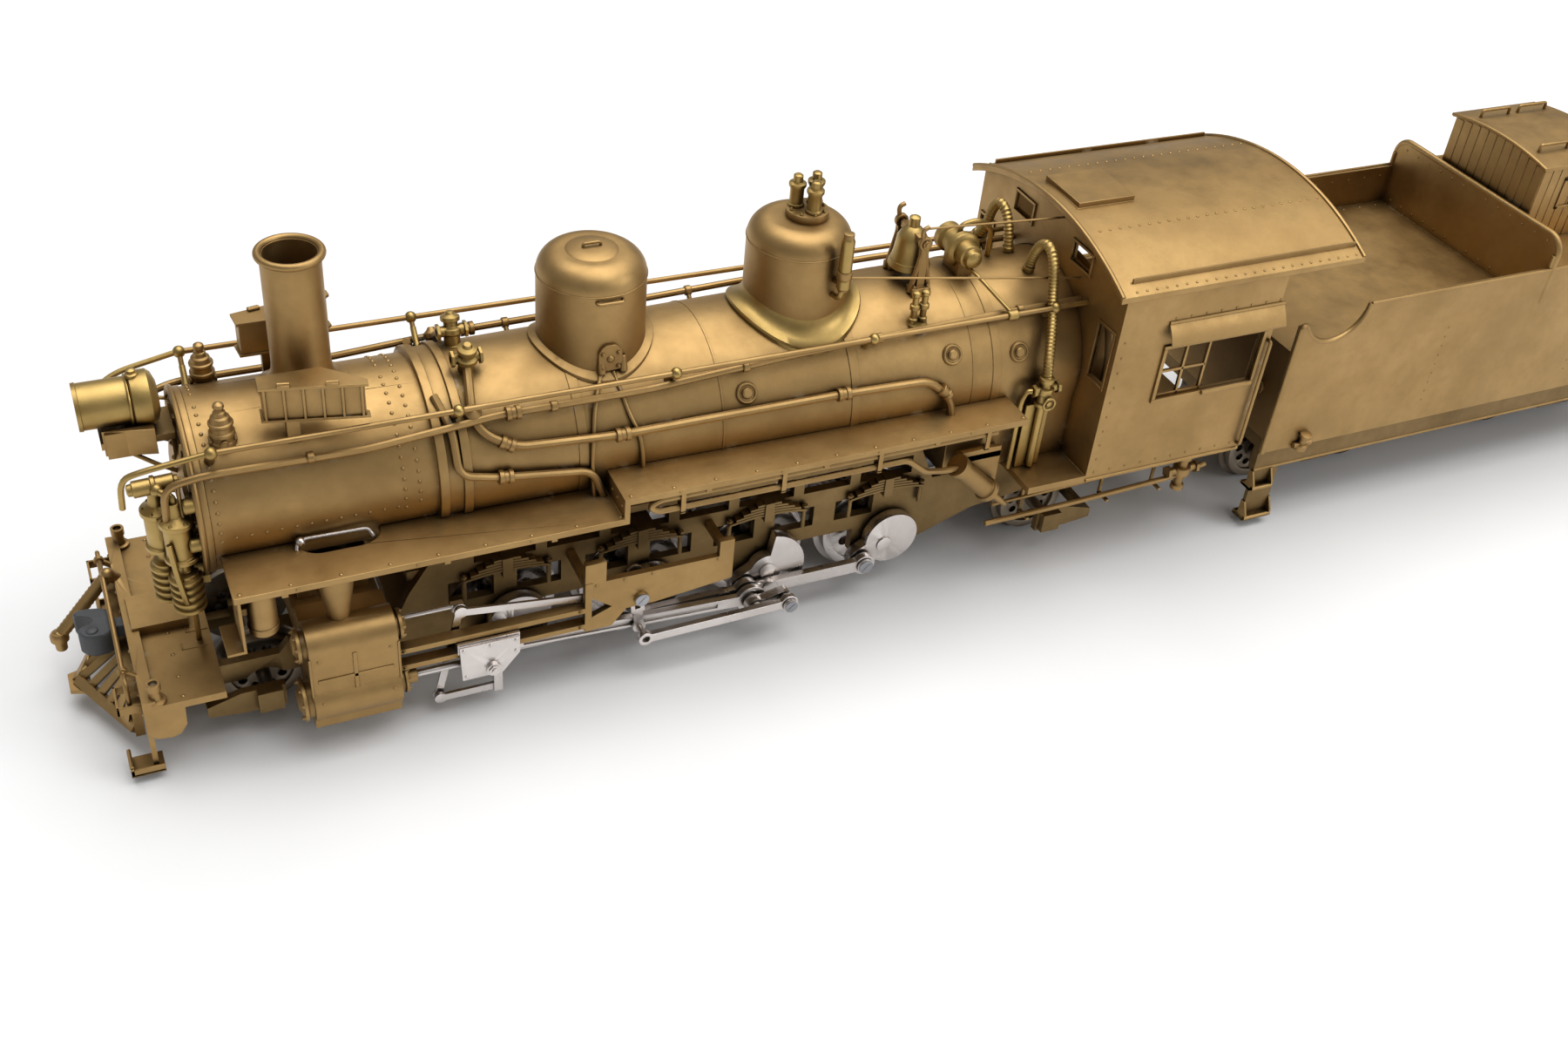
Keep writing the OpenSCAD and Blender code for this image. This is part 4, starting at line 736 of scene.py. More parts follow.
@pair(brass)
def number_board_trim(f):
    """Ribs on the long sides, latches and rims of the blank number boards."""
    a, b = Vector((-35.7, 8.2)), Vector((-44.4, 6.4))
    along = (b - a).normalized()
    out = Vector((along.y, -along.x))
    for i in range(6):
        p = a + along * (0.15 + 1.68 * i)
        q = p + along * 0.24
        f.prism([p, q, q + out * 0.26, p + out * 0.26], 2, 34.3, 37.5)
    outline = [(-44.5, 4.55), (-38.75, 4.55), (-35.3, 7.65), (-35.4, 8.5), (-44.7, 6.6)]
    f.prism(outline, 2, 37.45, 37.75)
    f.prism(outline, 2, 34.1, 34.34)
    for k in (2.2, 6.4):
        p = a + along * k - out * 0.1
        q = p + along * 1.1
        f.prism([p, q, q + out * 0.4, p + out * 0.4], 2, 37.7, 37.98)
        f.rod((p.x, p.y, 37.9), (q.x, q.y, 37.9), 0.2, 10)


@pair(brass)
def class_lamp_trim(f):
    x, y, z = -48, 5.1, 31.3
    lamp = [(0, 0.9), (0.3, 0.95), (0.4, 1.12), (0.8, 1.12), (0.9, 1), (1.4, 1.02), (1.5, 1.16),
            (1.8, 1.16), (1.9, 1), (2.4, 1), (2.5, 1.12), (2.75, 1.12), (2.85, 0.95), (3.3, 0.85),
            (3.45, 0.62), (3.8, 0.56), (3.9, 0.4), (4.15, 0.42), (4.3, 0.52), (4.6, 0.46), (4.8, 0.15)]
    f.lathe((x, y, z), UP, lamp, 28)
    for way in (AHEAD, RIGHT, REAR):
        lens = Vector((x, y, z + 0.9)) + Vector(way) * 0.95
        f.lathe(lens, way, [(0, 0.42), (0.25, 0.42), (0.3, 0.32), (0.2, 0.25)], 16)
    f.rod((x, y, z + 0.1), (x, y - 0.6, z - 1.7), 0.45, 12)


@piece(bright_brass, edge=0)
def headlight_trim(f):
    """Hood, reflector and vent of the headlight."""
    x, z = -59.5, 34.5
    hood = [(0, 1.85), (0, 2.2), (0.35, 2.24), (0.4, 2.14), (4.6, 2.16), (4.8, 2.4), (5.5, 2.55), (6.3, 2.55),
            (6.7, 2.2), (7, 1.4), (7.05, 0.4)]
    f.lathe((x, 0, z), REAR, hood, 48)
    f.lathe((x, 0, z), REAR, [(0.05, 1.84), (1.6, 1.7), (2.9, 1.2), (3.5, 0.4)], 40)
    f.hoop((x + 4.5, 0, z), REAR, 2.24, 0.12, 48, 8)
    vent = [(0, 0.55), (0.35, 0.55), (0.45, 0.35), (0.75, 0.4), (0.85, 0.2)]
    f.lathe((x + 5.1, 0, z + 2.3), UP, vent, 16)


@piece(brass)
def headlight_shelf(f):
    """Wedge number boxes and the shelf's stays."""
    for s in SIDES:
        f.prism([(-57.8, s * 2.2), (-53.4, s * 3.1), (-53.4, s * 2.2)], 2, 30.3, 33)
        f.tube([(-57.2, s * 1.6, 31.2), (-53.5, s * 2.4, 28.6), (-51.8, s * 2.6, 27.6)], 0.22, 0.8, 8)
        for nut_z in (28.6, 30.2):
            f.nut((-52, s * 1.6, nut_z), AHEAD, 0.28, 0.2)


@piece(brass)
def door_trim(f):
    """Dished door, bolts, ring and grab irons on the smokebox front."""
    dish = [(-0.2, 5.5), (0.1, 5.4), (0.45, 4.4), (0.7, 3), (0.85, 1.2), (0.9, 0.9), (1.2, 0.85), (1.3, 0.5)]
    f.lathe((FRONT_X - 0.4, 0, BOILER_Z), AHEAD, dish, 56)
    for p in circle((FRONT_X + 0.1, 0, BOILER_Z), RIGHT, UP, 7.9, 24, 0.5):
        f.nut(p, AHEAD, 0.26, 0.2)
    f.hoop((FRONT_X - 0.05, 0, BOILER_Z), REAR, 8.85, 0.3, 96, 10)
    grip_x = FRONT_X - 1.4
    for s in SIDES:
        grip = [(FRONT_X, s * 6.9, 29.4), (grip_x, s * 7.2, 29.6), (grip_x, s * 7.6, 25.6),
                (FRONT_X, s * 7.5, 25.4)]
        f.tube(grip, 0.2, 0.7, 8)


# Front end


@piece(bright_brass)
def pump_form(f):
    """The two-column pump with its valve chest, pipes, and arms to the smokebox front."""
    z = 15.2
    column = [(0, 0.9), (0.1, 1.2)]
    for i in range(5):
        h = 0.3 + 0.85 * i
        column += [(h, 1.2), (h + 0.1, 1.5), (h + 0.4, 1.5), (h + 0.5, 1.2)]
    column += [(4.6, 1.2), (4.8, 0.65), (6, 0.65), (6.1, 1.2), (6.2, 1.55), (6.6, 1.55), (6.7, 1.3),
               (10, 1.3), (10.1, 1.55), (10.6, 1.55), (10.8, 1.1), (11.1, 0.7), (12.6, 0.6)]
    for x, y in ((-54.5, -4.9), (-53.2, -7.2)):
        f.lathe((x, y, z), UP, column, 32)
        for p in circle((x, y, z + 10.6), REAR, RIGHT, 1.3, 6):
            f.nut(p, UP, 0.2, 0.16)
    # valve chest over the heads
    chest = [(-0.5, 0.3), (-0.4, 0.55), (0, 0.6), (0.05, 0.8), (1.6, 0.8), (1.65, 0.95), (2, 0.95),
             (2.05, 0.8), (3.6, 0.8), (3.65, 0.6), (4, 0.55)]
    f.lathe((-56.3, -5.2, 28.4), (1, 0, 0.05), chest, 24)
    f.ball((-54.3, -6, 28.5), 0.6)
    f.tube([(-54.3, -5.2, 28.5), (-54.2, -6.4, 28.5), (-53.2, -7.2, 28.4), (-53.2, -7.2, 27.6)], 0.34, 0.6)
    f.tube([(-52.7, -5.2, 28.6), (-51.4, -5.6, 28.6), (-50.6, -6.6, 29.2)], 0.34, 0.6)
    drain = [(-54.2, -8.4, 24), (-54, -8.8, 21), (-53.6, -8.7, 17.5), (-52.9, -6.8, 14),
             (-52.8, -4.6, DECK_TOP)]
    f.tube(drain, 0.28, 0.9)
    f.box((-54.8, -6.6, z + 8), (-53.4, -5.6, z + 10.4))
    for h in (2.2, 8.4):
        f.box((-54, -6.6, z + h), (-51, -5.4, z + h + 0.9))
    # lugs of the smokebox ring beside the pump
    for deg in (189, 218, 160):
        c = Vector((FRONT_X, 0, BOILER_Z)) + outward(deg) * 8.2
        f.rod(c, c + Vector((-1.3, 0, 0)), 0.75, 20, 0.15)


@piece(brass)
def deck_fittings(f):
    """Flag holders, steps, rivets and lifting bar of the front deck."""
    z = DECK_TOP
    bar_x, bar_z = -60.2, DECK_TOP + 1.3
    holder = [(0, 0.95), (0.3, 0.95), (0.4, 0.62), (1.4, 0.5), (1.5, 0.66), (2.3, 0.66), (2.3, 0.4),
              (1.9, 0.36)]
    straps = ((-59, 8.2, 8.45), (-59, 11.2, 11.45), (-61.15, 8.2, 11.45))
    for s in SIDES:
        f.lathe((-57.9, s * 12.1, z), UP, holder, 20)
        # strap step ahead of the beam
        for x, y0, y1 in straps:
            f.box((-61.4, s * y0, 7.6), (x, s * y1, 8.5))
        # rolled edges of the low step's tray
        f.rod((-61.15, s * 10.6, 2.3), (-61.15, s * 13.1, 2.3), 0.2, 10)
        f.box((-61.3, s * 12.9, 1.1), (-58.2, s * 13.1, 1.9))
        for y in (3, 6.2, 9.4, 12.2):
            f.rivet((-59.2, s * y, z - 1.2), AHEAD, 0.24)
            f.rivet((-55.5, s * y, z), UP, 0.2)
        # bent end of the lifting bar
        f.tube([(bar_x, s * 9, bar_z), (bar_x, s * 10.2, bar_z), (bar_x, s * 10.8, z - 0.4),
                (bar_x, s * 10.8, z - 2)], 0.24, 0.6, 8)
    for y in (-8.8, 8.4):
        f.lathe((bar_x, y, bar_z), RIGHT, [(0, 0.3), (0.05, 0.48), (0.45, 0.48), (0.5, 0.3)], 14)
    # raised edges of the two slots in the deck
    for x0, x1, y0, y1 in ((-53.9, -51.8, -3.5, -2.6), (-54.6, -52.2, -5.9, -4.9)):
        f.box((x0, y0, z - 0.05), (x1, y0 + 0.12, z + 0.08))
        f.box((x0, y0, z - 0.05), (x0 + 0.12, y1, z + 0.08))


@piece(brass, edge=0)
def brake_hose(f):
    z = DECK_TOP
    tip_x, tip_y = -65.2, 4.3
    f.tube([(-58.6, 6.6, z - 0.3), (-59.7, 6.1, z + 1.35), (tip_x, tip_y, 5.4)], 0.62, 1, 14, (0.5, 0.06))
    tip = [(0, 0.7), (0.3, 0.9), (0.9, 0.9), (1, 0.6), (2, 0.56), (2.1, 0.35)]
    f.lathe((tip_x, tip_y, 5.9), (0, -0.06, -1), tip, 16)


@piece(brass)
def pilot_trim(f):
    """Top bar, rivets and toe plate of the slatted pilot."""
    top = 6.95
    f.rod((-60.1, -9.3, top - 0.45), (-60.1, 9.3, top - 0.45), 0.34, 12)
    f.rivets((-60, -7.75, top - 0.2), (0, 1.55, 0), 11, AHEAD, 0.26)
    f.prism([(-65.2, -1.3), (-63.2, -1.9), (-63.2, 1.9), (-65.2, 1.3)], 2, 2.5, 2.9)


# Outline of a coupler's head, from the pivot outwards and to the right
HEAD = ((4.9, -1), (5.2, -1.6), (6, -2.05), (7, -2.1), (7.9, -1.75), (8.4, -1.05), (8.3, -0.45),
        (7.8, -0.2), (7.2, -0.05), (6.9, 0.4), (7.2, 0.95), (7.9, 1.4), (8.45, 1.55), (8.6, 2.05),
        (8.2, 2.4), (7.2, 2.45), (6.1, 2.2), (5.2, 1.7), (4.9, 1.1))
HEAD_MIDDLE = (6.7, 0.1)


def coupler(body, x, d):
    """Shank, rounded head with its jaw, and the pin of the knuckle; d is the way it points."""
    f = Form()
    z = COUPLER_Z
    shank = x + d * 5.2
    f.box((min(x, shank), -0.7, z - 0.7), (max(x, shank), 0.7, z + 0.7))
    f.lathe((x, 0, z - 0.7), UP, [(0, 0.8), (0.1, 0.9), (1.3, 0.9), (1.4, 0.8)], 24)
    cu, cv = HEAD_MIDDLE
    rows = []
    for h, k in ((-1.5, 0.86), (-1.4, 0.94), (-1.15, 1), (0.85, 1), (1.1, 0.95), (1.2, 0.88)):
        rows.append([(x + d * (cu + (u - cu) * k), cv + (v - cv) * k, z + h) for u, v in HEAD])
    f.rows(rows)
    for h, way in ((1.1, UP), (-1.4, DOWN)):
        f.lathe((x + d * 7.1, -1.15, z + h), way, [(0, 0.6), (0.2, 0.6), (0.3, 0.45)], 16)
    return f.make(body + "_form", body, grey, False, 0.08)


# Boards and cylinders


@pair(brass)
def board_trim(f):
    """Rivets of the running boards, and the brackets under them."""
    for x0, x1, z in ((-49.4, -13.2, 21.36), (-12.2, 32.4, 23.7)):
        length = x1 - x0
        count = int(length / 4.4)
        f.rivets((x0, 14.05, z), (length / count, 0, 0), count + 1, UP, 0.2)
        f.rivets((x0 + 5, 14.57, z - 0.35), (11, 0, 0), int(length / 11), RIGHT, 0.17)
    for y in (11, 12.4, 13.8):
        f.rivet((-13, y, 22.6), AHEAD, 0.2)
    for z, places in ((20.66, (-45.5, -30.5, -20)), (23, (-4, 9, 22))):
        for x in places:
            f.prism([(9.2, z), (14.3, z), (14.3, z - 0.5), (9.4, z - 2.6)], 0, x - 0.3, x + 0.3)


@pair(brass)
def drain_tanks(f):
    """Upright drain tank under the board's front corner, with its bracket."""
    x, y = -47.5, 12.4
    tank = [(0, 0.6), (0.1, 1.2), (0.3, 1.35), (5.2, 1.35), (5.4, 1.2), (5.5, 0.7)]
    f.lathe((x, y, 15.2), UP, tank, 32)
    f.hoop((x, y, 16.2), UP, 1.36, 0.1, 32, 8)
    f.box((-49.7, 9.6, 14.4), (-49.4, 13.9, 20.7))
    f.box((-51.2, 9.6, 14.1), (-49.4, 13.9, 14.4))
    f.box((-49.7, y - 0.2, 17.6), (x, y + 0.2, 18.4))


@pair(nickel)
def board_grabs(f):
    bar = [(-43.4, 9.4, 21.3), (-43.2, 9, 21.9), (-42.6, 8.7, 22), (-36.6, 8.9, 22), (-36.2, 9.4, 21.3)]
    f.tube(bar, 0.2, 0.5, 8)
    f.ball((-42.9, 8.9, 21.9), 0.5)


@pair(brass)
def cylinder_trim(f):
    """Covers, nuts, jacket edges and drain pipes of the cylinders."""
    front, rear = -45.1, -35.1
    covers = ((front, -1, AXLE_Z, 1.9, CYLINDER_Y), (-45, -1, 12.9, 1.5, 12.9), (rear, 1, 12.9, 1.3, 12.9))
    for x, d, z, r, y in covers:
        cover = [(-0.3, r + 0.25), (0.05, r + 0.25), (0.15, r * 0.7), (0.4, r * 0.5), (0.45, 0.1)]
        f.lathe((x, y, z), (d, 0, 0), cover, 32)
        for p in circle((x + 0.02 * d, y, z), RIGHT, UP, r, 8, 0.5):
            f.nut(p, (d, 0, 0), 0.22, 0.18)
    gland = [(-0.2, 1.6), (0.1, 1.6), (0.2, 0.9), (1.1, 0.8), (1.2, 0.48)]
    f.lathe((rear, CYLINDER_Y, AXLE_Z), REAR, gland, 28)
    for p in circle((rear + 0.1, CYLINDER_Y, AXLE_Z), RIGHT, UP, 1.3, 8, 0.5):
        f.nut(p, REAR, 0.2, 0.15)
    # jacket edges and the raised cross on the outer face
    for x in (-44.2, -35.8):
        f.box((x - 0.12, 14.95, 6.6), (x + 0.12, 15.2, 12.7))
    f.box((-43.6, 15.05, 9.5), (-36.4, 15.2, 9.9))
    f.box((-40.2, 15.05, 7), (-39.8, 15.2, 12.5))
    for x in (-43.4, -36.6):
        for z, y in ((7.2, 15.65), (9.7, 15.1), (12.2, 15.1)):
            f.rivet((x, y, z), RIGHT, 0.18)
    y, z = 13.2, 2.4
    for x0, x1 in ((-43, -38), (-37, -40)):
        f.tube([(x0, y, 3.7), (x0, y, z), (x1, y, z)], 0.2, 0.5, 8)


@pair(dark_brass)
def frame_springs(f):
    """Leaf springs with their hangers over each coupled axle."""
    y, reach, leaf = 8.85, 4.6, 0.27
    for n in range(1, 5):
        x = axle_x(n)
        for k in range(5):
            half = reach - 0.8 * k
            z = 12.9 + 0.34 * k
            steps = [half * (i / 4 - 1) for i in range(9)]
            low = [(x + q, z + 0.5 - 0.5 * (q / reach) ** 2) for q in steps]
            f.prism(low + [(px, pz + leaf) for px, pz in reversed(low)], 1, y - 0.45, y + 0.45)
        f.box((x - 0.55, 8.3, 12.7), (x + 0.55, 9.45, 15.1))
        for s in (-1, 1):
            hanger = x + s * 4.4
            f.rod((hanger, y, 10.6), (hanger, y, 13.4), 0.26, 10)
            f.nut((hanger, y, 13.35), UP, 0.38, 0.2)


@pair(brass)
def guide_trim(f):
    for x in (-15.6, -12.6, -9.6, -2.4):
        f.rivet((x, 14.25, 13.35), RIGHT, 0.22)
    for z in (8.3, 10.4):
        for x in (-35.2, -17.3):
            f.nut((x, 14.32, z), RIGHT, 0.22, 0.12)


def gear_screws():
    """Heads of the gear's screws and rivets, each on the body it turns with."""
    for side, s in (("left", -1), ("right", 1)):
        out = (0, s, 0)
        a = radians(CRANK_DEG[side])
        dx, dz = CRANK * cos(a), CRANK * sin(a)
        for n in range(1, 5):
            x = axle_x(n)
            f = Form()
            if n == 3:
                f.screw((x + dx, s * 14.05, AXLE_Z + dz), out, 0.62, 0.18)
                # foot of the eccentric crank, a quarter turn ahead of the pin
                ex, ez = 1.1 * cos(a + pi / 2), 1.1 * sin(a + pi / 2)
                f.screw((x + ex, s * 15.45, AXLE_Z + ez), out, 0.72, 0.18)
            else:
                f.screw((x + dx, s * 11.42, AXLE_Z + dz), out, 0.85, 0.2)
            f.make("crank_screw_%d_%s" % (n, side), "driver_axle_%d" % n, steel, False, 0)
        wrist = MAIN_AXLE_X + dx - sqrt(MAIN_ROD ** 2 - dz ** 2)
        f = Form()
        f.nut((wrist, s * 15.52, AXLE_Z), out, 0.62, 0.2)
        for px, pz in ((-2.9, 2.9), (2.4, 2.9), (-2.7, -0.6), (2.4, 1.5), (-0.2, 2.9)):
            f.rivet((wrist + px, s * 15.02, AXLE_Z + pz), out, 0.22)
        f.make("crosshead_rivets_" + side, "crosshead_" + side, nickel, False, 0)
        g = Form()
        g.screw((-10.8, s * 14.6, 10.5), out, 0.75, 0.22)
        g.make("link_screw_" + side, "engine", steel, False, 0)


# Cab


@pair(brass)
def cab_window_frames(f):
    x0, x1, z0, z1 = 48.75, 61.85, 23.5, 30
    y0, y1 = 14.3, 15.25
    for (ax, az), (bx, bz) in rim((x0, z0), (x1, z1), 0.45):
        f.box((ax, y0 + 0.5, az), (bx, y1, bz))
    middle = 55
    sash = 0.32
    for x in (x0, 51.75, middle - 0.2):
        f.box((x, y0 + 0.1, z0), (x + sash, y0 + 0.45, z1))
    for z in (z0, 26.6, z1 - sash):
        f.box((x0, y0 + 0.1, z), (middle, y0 + 0.45, z + sash))
    # sill rest
    f.tube([(x1, 15.3, z0 - 0.2), (middle, 15.3, z0 - 0.2)], 0.3, 1, 10)


@pair(brass)
def cab_front_frames(f):
    for low, high in (((11.4, 25.7), (14.1, 32.4)), ((4.2, 36.2), (7.8, 38.4))):
        for (ay, az), (by, bz) in rim(low, high, 0.3):
            f.box((CAB_FRONT - 0.25, ay, az), (CAB_FRONT + 0.2, by, bz))


@pair(brass)
def awnings(f):
    x0, x1, top = 48.2, 63.6, 33.3
    steps = [k / 6 for k in range(7)]
    sheet = [(CAB_Y + 1.35 * t, top - 2.2 * t + 0.25 * sin(pi * t)) for t in steps]
    f.prism(sheet + [(y - 0.06, z - 0.18) for y, z in reversed(sheet)], 0, x0, x1)
    f.rod((x0, CAB_Y + 0.05, top), (x1, CAB_Y + 0.05, top), 0.2, 10)
    f.rivets((49, CAB_Y, top + 0.45), (2, 0, 0), 8, RIGHT, 0.17)


@pair(brass)
def cab_rails(f):
    """Handrail, beads and rivets of the cab side."""
    x, y, z0, z1 = 62.9, CAB_Y - 0.1, 14.6, 28.6
    f.staple((x, y, z1), (x, y, z0), (0, 0.65, 0), 0.22, 0.45)
    # beads on the rear edge and the foot of the side
    f.rod((63.25, 14.7, 13.6), (63.25, 14.7, 23.2), 0.3, 12)
    f.rod((CAB_FRONT, CAB_Y, 13.75), (63.2, CAB_Y, 13.75), 0.22, 10)
    f.rivets((43, CAB_Y, 14.7), (2.1, 0, 0), 10, RIGHT, 0.17)
    f.rivets((42.9, CAB_Y, 16.5), (0, 0, 1.9), 9, RIGHT, 0.17)


@pair(brass)
def underfloor_pipes(f):
    """Brake pipe, its valve and the rods hung under the cab floor."""
    y = 12
    f.tube([(31.7, y, 7.9), (44, y, 8.1), (57, y, 8.6), (62.4, y - 0.4, 9.2)], 0.34, 1)
    f.tube([(33, y - 1.2, 9.4), (46, y - 1.2, 9.8), (58, y - 1.2, 11)], 0.24, 1, 8)
    valve = [(0, 0.6), (0.2, 0.95), (1, 0.95), (1.2, 0.6), (2, 0.6), (2.2, 1.05), (3.2, 1.05), (3.4, 0.6),
             (4.6, 0.5), (4.8, 0.8), (5.4, 0.8), (5.6, 0.3)]
    f.lathe((58.6, y, 12.2), DOWN, valve, 20)
    f.rod((56.4, y, 9.4), (60.8, y, 9.6), 0.5, 14, 0.1)
    for x in (56.4, 60.4):
        f.rod((x, y, 9.5), (x + 0.4, y, 9.5), 0.8, 6)
    for x in (37, 48, 55.4):
        f.box((x, y - 1.5, 7.4), (x + 0.4, y + 0.5, 7.7))
        f.box((x, y - 1.5, 7.4), (x + 0.4, y - 1.2, 13.4))


@pair(brass, edge=0)
def roof_trim(f):
    """Rivet rows and rain strips of the roof."""
    for i in range(24):
        for y, r in ((7.1, 0.17), (15.2, 0.16)):
            p = roof_point(42.6 + 1.27 * i, y)
            f.rivet(p, (0, p.y, p.z - ROOF_AXIS), r)
    z = roof_point(41, 14.2, 0.28).z
    f.box((42.6, 14.05, z - 0.6), (72.2, 14.3, z + 0.2))


@piece(brass, edge=0)
def roof_edges(f):
    half = 15.6
    for x in (40.7, 72.7):
        f.tube([roof_point(x, -half + 2 * half * i / 24, 0.02) for i in range(25)], 0.26, 0.2, 8)


@piece(dark_brass)
def backhead_trim(f):
    """Gauges, fire door, water glasses and throttle on the boiler's rear end."""
    x = 46.2
    r = 1.25
    for y in (-4, 0, 4):
        f.lathe((x, y, 29), REAR, [(0, r), (0.4, r), (0.5, r * 0.85), (0.42, r * 0.8), (0.4, 0.1)], 24)
    f.lathe((x, 0, 19.5), REAR, [(0, 2.5), (0.3, 2.45), (0.5, 1.8), (0.6, 0.3)], 32)
    for y in (-6, 6):
        f.tube([(x - 0.5, y, 24), (x + 1.2, y, 24), (x + 1.2, y, 16), (x - 0.4, y, 15.2)], 0.3, 0.8)
        f.hoop((x + 1.6, y, 24), REAR, 0.7, 0.15, 24, 8)
    f.tube([(x, -1, 25), (x + 2.4, 1.4, 26.2), (x + 2.4, 4.2, 26.6)], 0.26, 0.6)


# Tender


@pair(brass, "tender")
def tender_trim(f):
    x0, x1, w = TENDER_X0, TENDER_X1, TENDER_Y
    # bead up the front edge and round the curve at the top, beads along the other edges
    curve_r, shoulder = 4.6, 29.1
    turns = [radians(204.4 + 151.9 * i / 24) for i in range(25)]
    arc = [(x0 + 5.1 + curve_r * cos(a), w - 0.25, TANK_TOP + 0.3 + curve_r * sin(a)) for a in turns]
    edge = [(x0, w - 0.1, TANK_FOOT), (x0, w - 0.1, shoulder), (x0 + 0.6, w - 0.2, shoulder)]
    f.tube(edge + arc, 0.33, 0.4, 12)
    f.rod((x0 + 9.7, w - 0.15, TANK_TOP), (x1, w - 0.15, TANK_TOP), 0.2, 10)
    f.rod((x1, w - 0.1, TANK_FOOT), (x1, w - 0.1, TANK_TOP), 0.33, 12)
    f.rod((x0 + 0.5, 13.6, 8.3), (x1 - 0.3, 13.6, 8.3), 0.24, 10)
    for x in (91.5, 115.5):
        f.rivets((x, w, TANK_FOOT + 3), (0, 0, 1.3), 9, RIGHT, 0.13)
    rail_y = w - 1.2
    f.staple((x1, rail_y, 27), (x1, rail_y, 16), (0.8, 0, 0), 0.2, 0.4)
    # cheeks and rolled lips of the two treads at the front
    for z, xa, xb in ((1, 68.4, 72.4), (5.6, 68.2, 71.2)):
        cheek = [(12.4, z), (14.3, z), (w, z + 0.4), (w, z + 1), (13.9, z + 2.6), (13.3, z + 2.6),
                 (13.3, z + 0.9)]
        for x in (xa, xb - 0.25):
            f.prism(cheek, 0, x, x + 0.25)
        f.box((xa, 12.4, z), (xb, 14.4, z + 0.35))
        f.rod((xa, 14.5, z + 0.45), (xb, 14.5, z + 0.45), 0.28, 12)
    # small valve low at the front
    valve = [(0, 0.45), (0.2, 0.85), (0.9, 0.85), (1, 0.5), (2, 0.45), (2.1, 0.75), (2.5, 0.75), (2.6, 0.3)]
    f.lathe((73.4, 14.8, 11.2), (0, 0.2, 1), valve, 16)
    f.rod((72.2, 14.9, 12), (74.8, 14.9, 12), 0.4, 12)


@piece(brass, "tender")
def tender_fittings(f):
    """Valve wheels and grab rails on the tank's front, and the bulkhead's posts and rolled edge."""
    x = TENDER_X0
    wheel = [(0, 0.9), (0.3, 0.9), (0.4, 0.4), (1.2, 0.35), (1.3, 0.7), (1.5, 0.7)]
    bottom, corner_z, corner_r = 26, 32.4, 2
    for s in SIDES:
        f.lathe((x, s * 11, 19), AHEAD, wheel, 16)
        y = s * 9.4
        f.staple((x, y, 24.6), (x, y, 16.4), (-0.8, 0, 0), 0.2, 0.4)
        f.rod((BULKHEAD_X, s * 14.3, bottom), (BULKHEAD_X, s * 14.3, corner_z), 0.3, 12)
    edge_x = BULKHEAD_X + 0.35
    turns = [radians(90 * i / 8) for i in range(9)]
    right = [(edge_x, 14.4, bottom)]
    right += [(edge_x, 12.4 + corner_r * cos(a), corner_z + corner_r * sin(a)) for a in turns]
    left = [(px, -py, pz) for px, py, pz in reversed(right)]
    f.tube(right + left, 0.42, 0.3, 12)


@pair(brass, "tender", edge=0)
def fuel_space_rivets(f):
    """Rows along the wall, the floor and the bulkhead; the wall's begins behind the front curve."""
    along, across, r = 2.7, 2.1, 0.15
    f.rivets((79.4, 14, 29.4), (along, 0, 0), 10, LEFT, r)
    f.rivets((74, 13.2, 25.5), (along, 0, 0), 12, UP, r)
    f.rivets((BULKHEAD_X, 2, 33.6), (0, across, -0.02), 6, AHEAD, r)
    f.rivets((BULKHEAD_X, 2, 26.3), (0, across, 0), 6, AHEAD, r)


@piece(brass, "tender")
def shelter_boards(f):
    x0, x1, w, z0 = 106.6, 119.6, SHELTER_Y, TANK_TOP
    axis, r = SHELTER_AXIS, SHELTER_R
    half, gap = 0.06, 0.16
    pitch = (x1 - x0) / 9
    for s in SIDES:
        for i in range(9):
            a = x0 + 0.05 + pitch * i
            f.box((a, s * w - half, z0), (a + pitch - gap, s * w + half, 40.1))
    pitch = 2 * w / 11
    for x in (x0, x1):
        for i in range(11):
            a = -w + 0.05 + pitch * i
            b = a + pitch - gap
            top = axis + sqrt((r - 0.55) ** 2 - max(abs(a), abs(b)) ** 2)
            f.box((x - half, a, z0), (x + half, b, top))


@piece(brass, "tender")
def shelter_trim(f):
    """Grab irons, roof edges and side windows of the tender cabin."""
    w, axis, r = SHELTER_Y, SHELTER_AXIS, SHELTER_R
    for y in (-5, 5):
        z = axis + sqrt(r * r - y * y)
        for x in (107.6, 113.8):
            f.staple((x, y, z - 0.2), (x + 4.6, y, z - 0.2), (0, 0, 1.1), 0.2, 0.4)
    bar, sill = 0.4, 34.6
    for s in SIDES:
        y0, y1 = s * w - 0.22, s * w + 0.22
        for z in (sill, 38.4):
            f.box((110.6, y0, z), (115.4, y1, z + bar))
        for x in (110.6, 112.8, 115):
            f.box((x, y0, sill), (x + bar, y1, 38.8))
    across = [-8.1 + 16.2 * i / 20 for i in range(21)]
    for x in (106.2, 120):
        f.tube([(x, y, axis + sqrt((r - 0.2) ** 2 - y * y)) for y in across], 0.2, 0.2, 8)


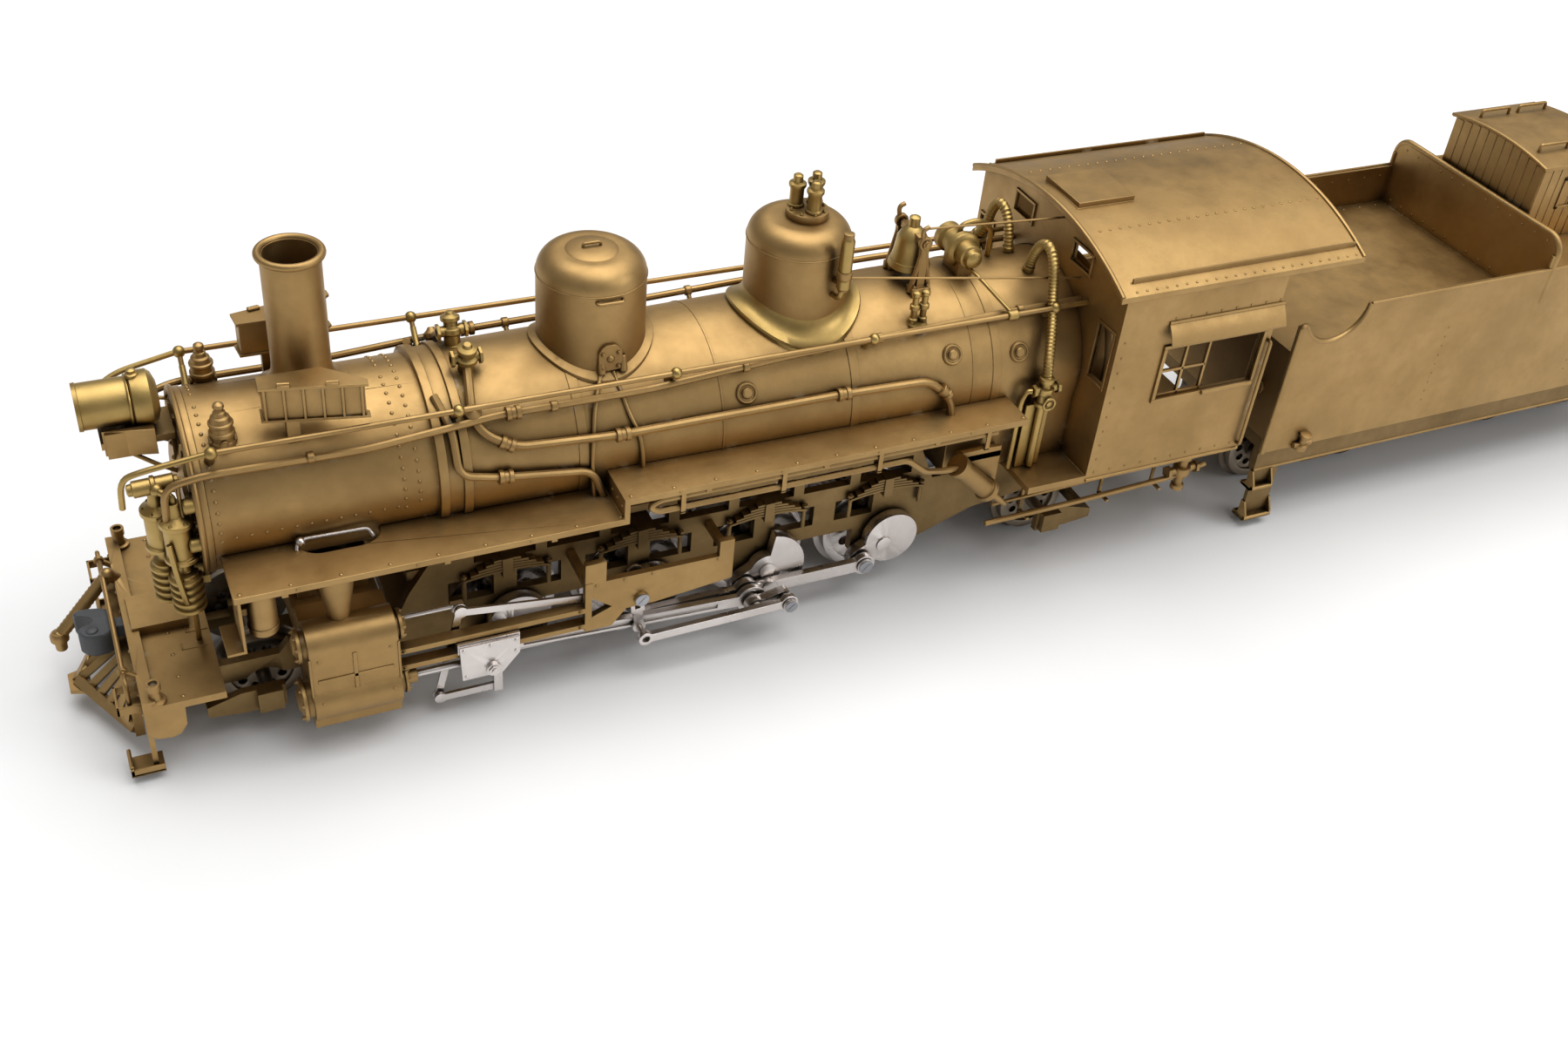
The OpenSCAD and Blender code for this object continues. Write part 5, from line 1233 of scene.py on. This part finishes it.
def truck_trim():
    """Journal boxes, springs and bolts of the tender trucks."""
    for name, x in TRUCK_X.items():
        f = Form()
        for box_x in (x - 7.6, x + 7.6):
            f.box((box_x - 1.25, 7.9, 3.9), (box_x + 1.25, 8.9, 6.4))
            f.box((box_x - 1, 8.8, 4.1), (box_x + 1, 9.15, 5.9))
            f.nut((box_x, 9.1, 5), RIGHT, 0.3, 0.2)
        for d in (-1.2, 0, 1.2):
            f.tube([(x + d, 8.3, 3.6 + 0.21 * i) for i in range(14)], 0.42, 0.05, 10, (0.42, 0.13))
        for z0, z1 in ((7, 7.6), (3.3, 3.7)):
            f.box((x - 2.2, 7.6, z0), (x + 2.2, 8.9, z1))
        for d in (-5.2, 5.2):
            for z in (3.5, 6.6):
                f.nut((x + d, 8.1, z), RIGHT, 0.28, 0.2)
        f.make(name + "_trim", name, dark_brass, True)


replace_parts(boiler_piping, "boiler_pipes")
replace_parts(class_lamp_trim, "class_lamps")
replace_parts(pump_form, "air_pump")
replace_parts(coupler("front_coupler", -55, -1), "front_coupler")
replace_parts(coupler("rear_coupler", 136.9, 1), "rear_coupler")
gear_screws()
truck_trim()

# Floor, light and camera, in metres

FLOOR_HALF = 3.0
floor_mesh = bpy.data.meshes.new("floor")
corners = [(x * FLOOR_HALF, y * FLOOR_HALF, 0) for x, y in ((-1, -1), (1, -1), (1, 1), (-1, 1))]
floor_mesh.from_pydata(corners, [], [(0, 1, 2, 3)])
floor = bpy.data.objects.new("floor", floor_mesh)
scene.collection.objects.link(floor)
white, tree, shader = new_material("floor_white")
clouds = ramp(tree, noise(tree, coords(tree), 30, 3), [(0.3, 0.80), (0.7, 0.83)])
tree.links.new(clouds, shader.inputs["Base Color"])
shader.inputs["Roughness"].default_value = 0.75
floor_mesh.materials.append(white)

world = bpy.data.worlds.new("studio")
scene.world = world
world.use_nodes = True
background = world.node_tree.nodes["Background"]
background.inputs["Color"].default_value = (1, 1, 1, 1)
background.inputs["Strength"].default_value = 0.3


def area(name, place, target, size, power):
    light = bpy.data.lights.new(name, "AREA")
    light.shape = "RECTANGLE"
    light.size, light.size_y = size
    light.energy = power
    lamp = bpy.data.objects.new(name, light)
    lamp.location = place
    lamp.rotation_mode = "QUATERNION"
    lamp.rotation_quaternion = (Vector(target) - Vector(place)).to_track_quat("-Z", "Y")
    scene.collection.objects.link(lamp)


area("top", (0.1, 0.06, 0.75), (0, 0, 0), (1.0, 0.8), 8.5)
area("right", (0.65, -0.6, 0.45), (0.05, 0, 0.02), (0.4, 0.4), 2.2)

cam_data = bpy.data.cameras.new("camera")
cam = bpy.data.objects.new("camera", cam_data)
scene.collection.objects.link(cam)
cam_data.sensor_width = 36
cam_data.lens = 38.26
cam_data.clip_start, cam_data.clip_end = 0.001, 20
# the camera's own directions and place, solved from straight edges in the photograph
cam_right = (0.90603358, -0.41423784, 0.08666115)
cam_up = (0.1944151, 0.58928672, 0.78418361)
cam_back = (-0.37590679, -0.69364845, 0.61444764)
cam_place = (-0.0998185, -0.1337752, 0.1222140)
cam.matrix_world = Matrix([*zip(cam_right, cam_up, cam_back, cam_place), (0, 0, 0, 1)])
scene.camera = cam

scene.view_settings.view_transform = "Standard"
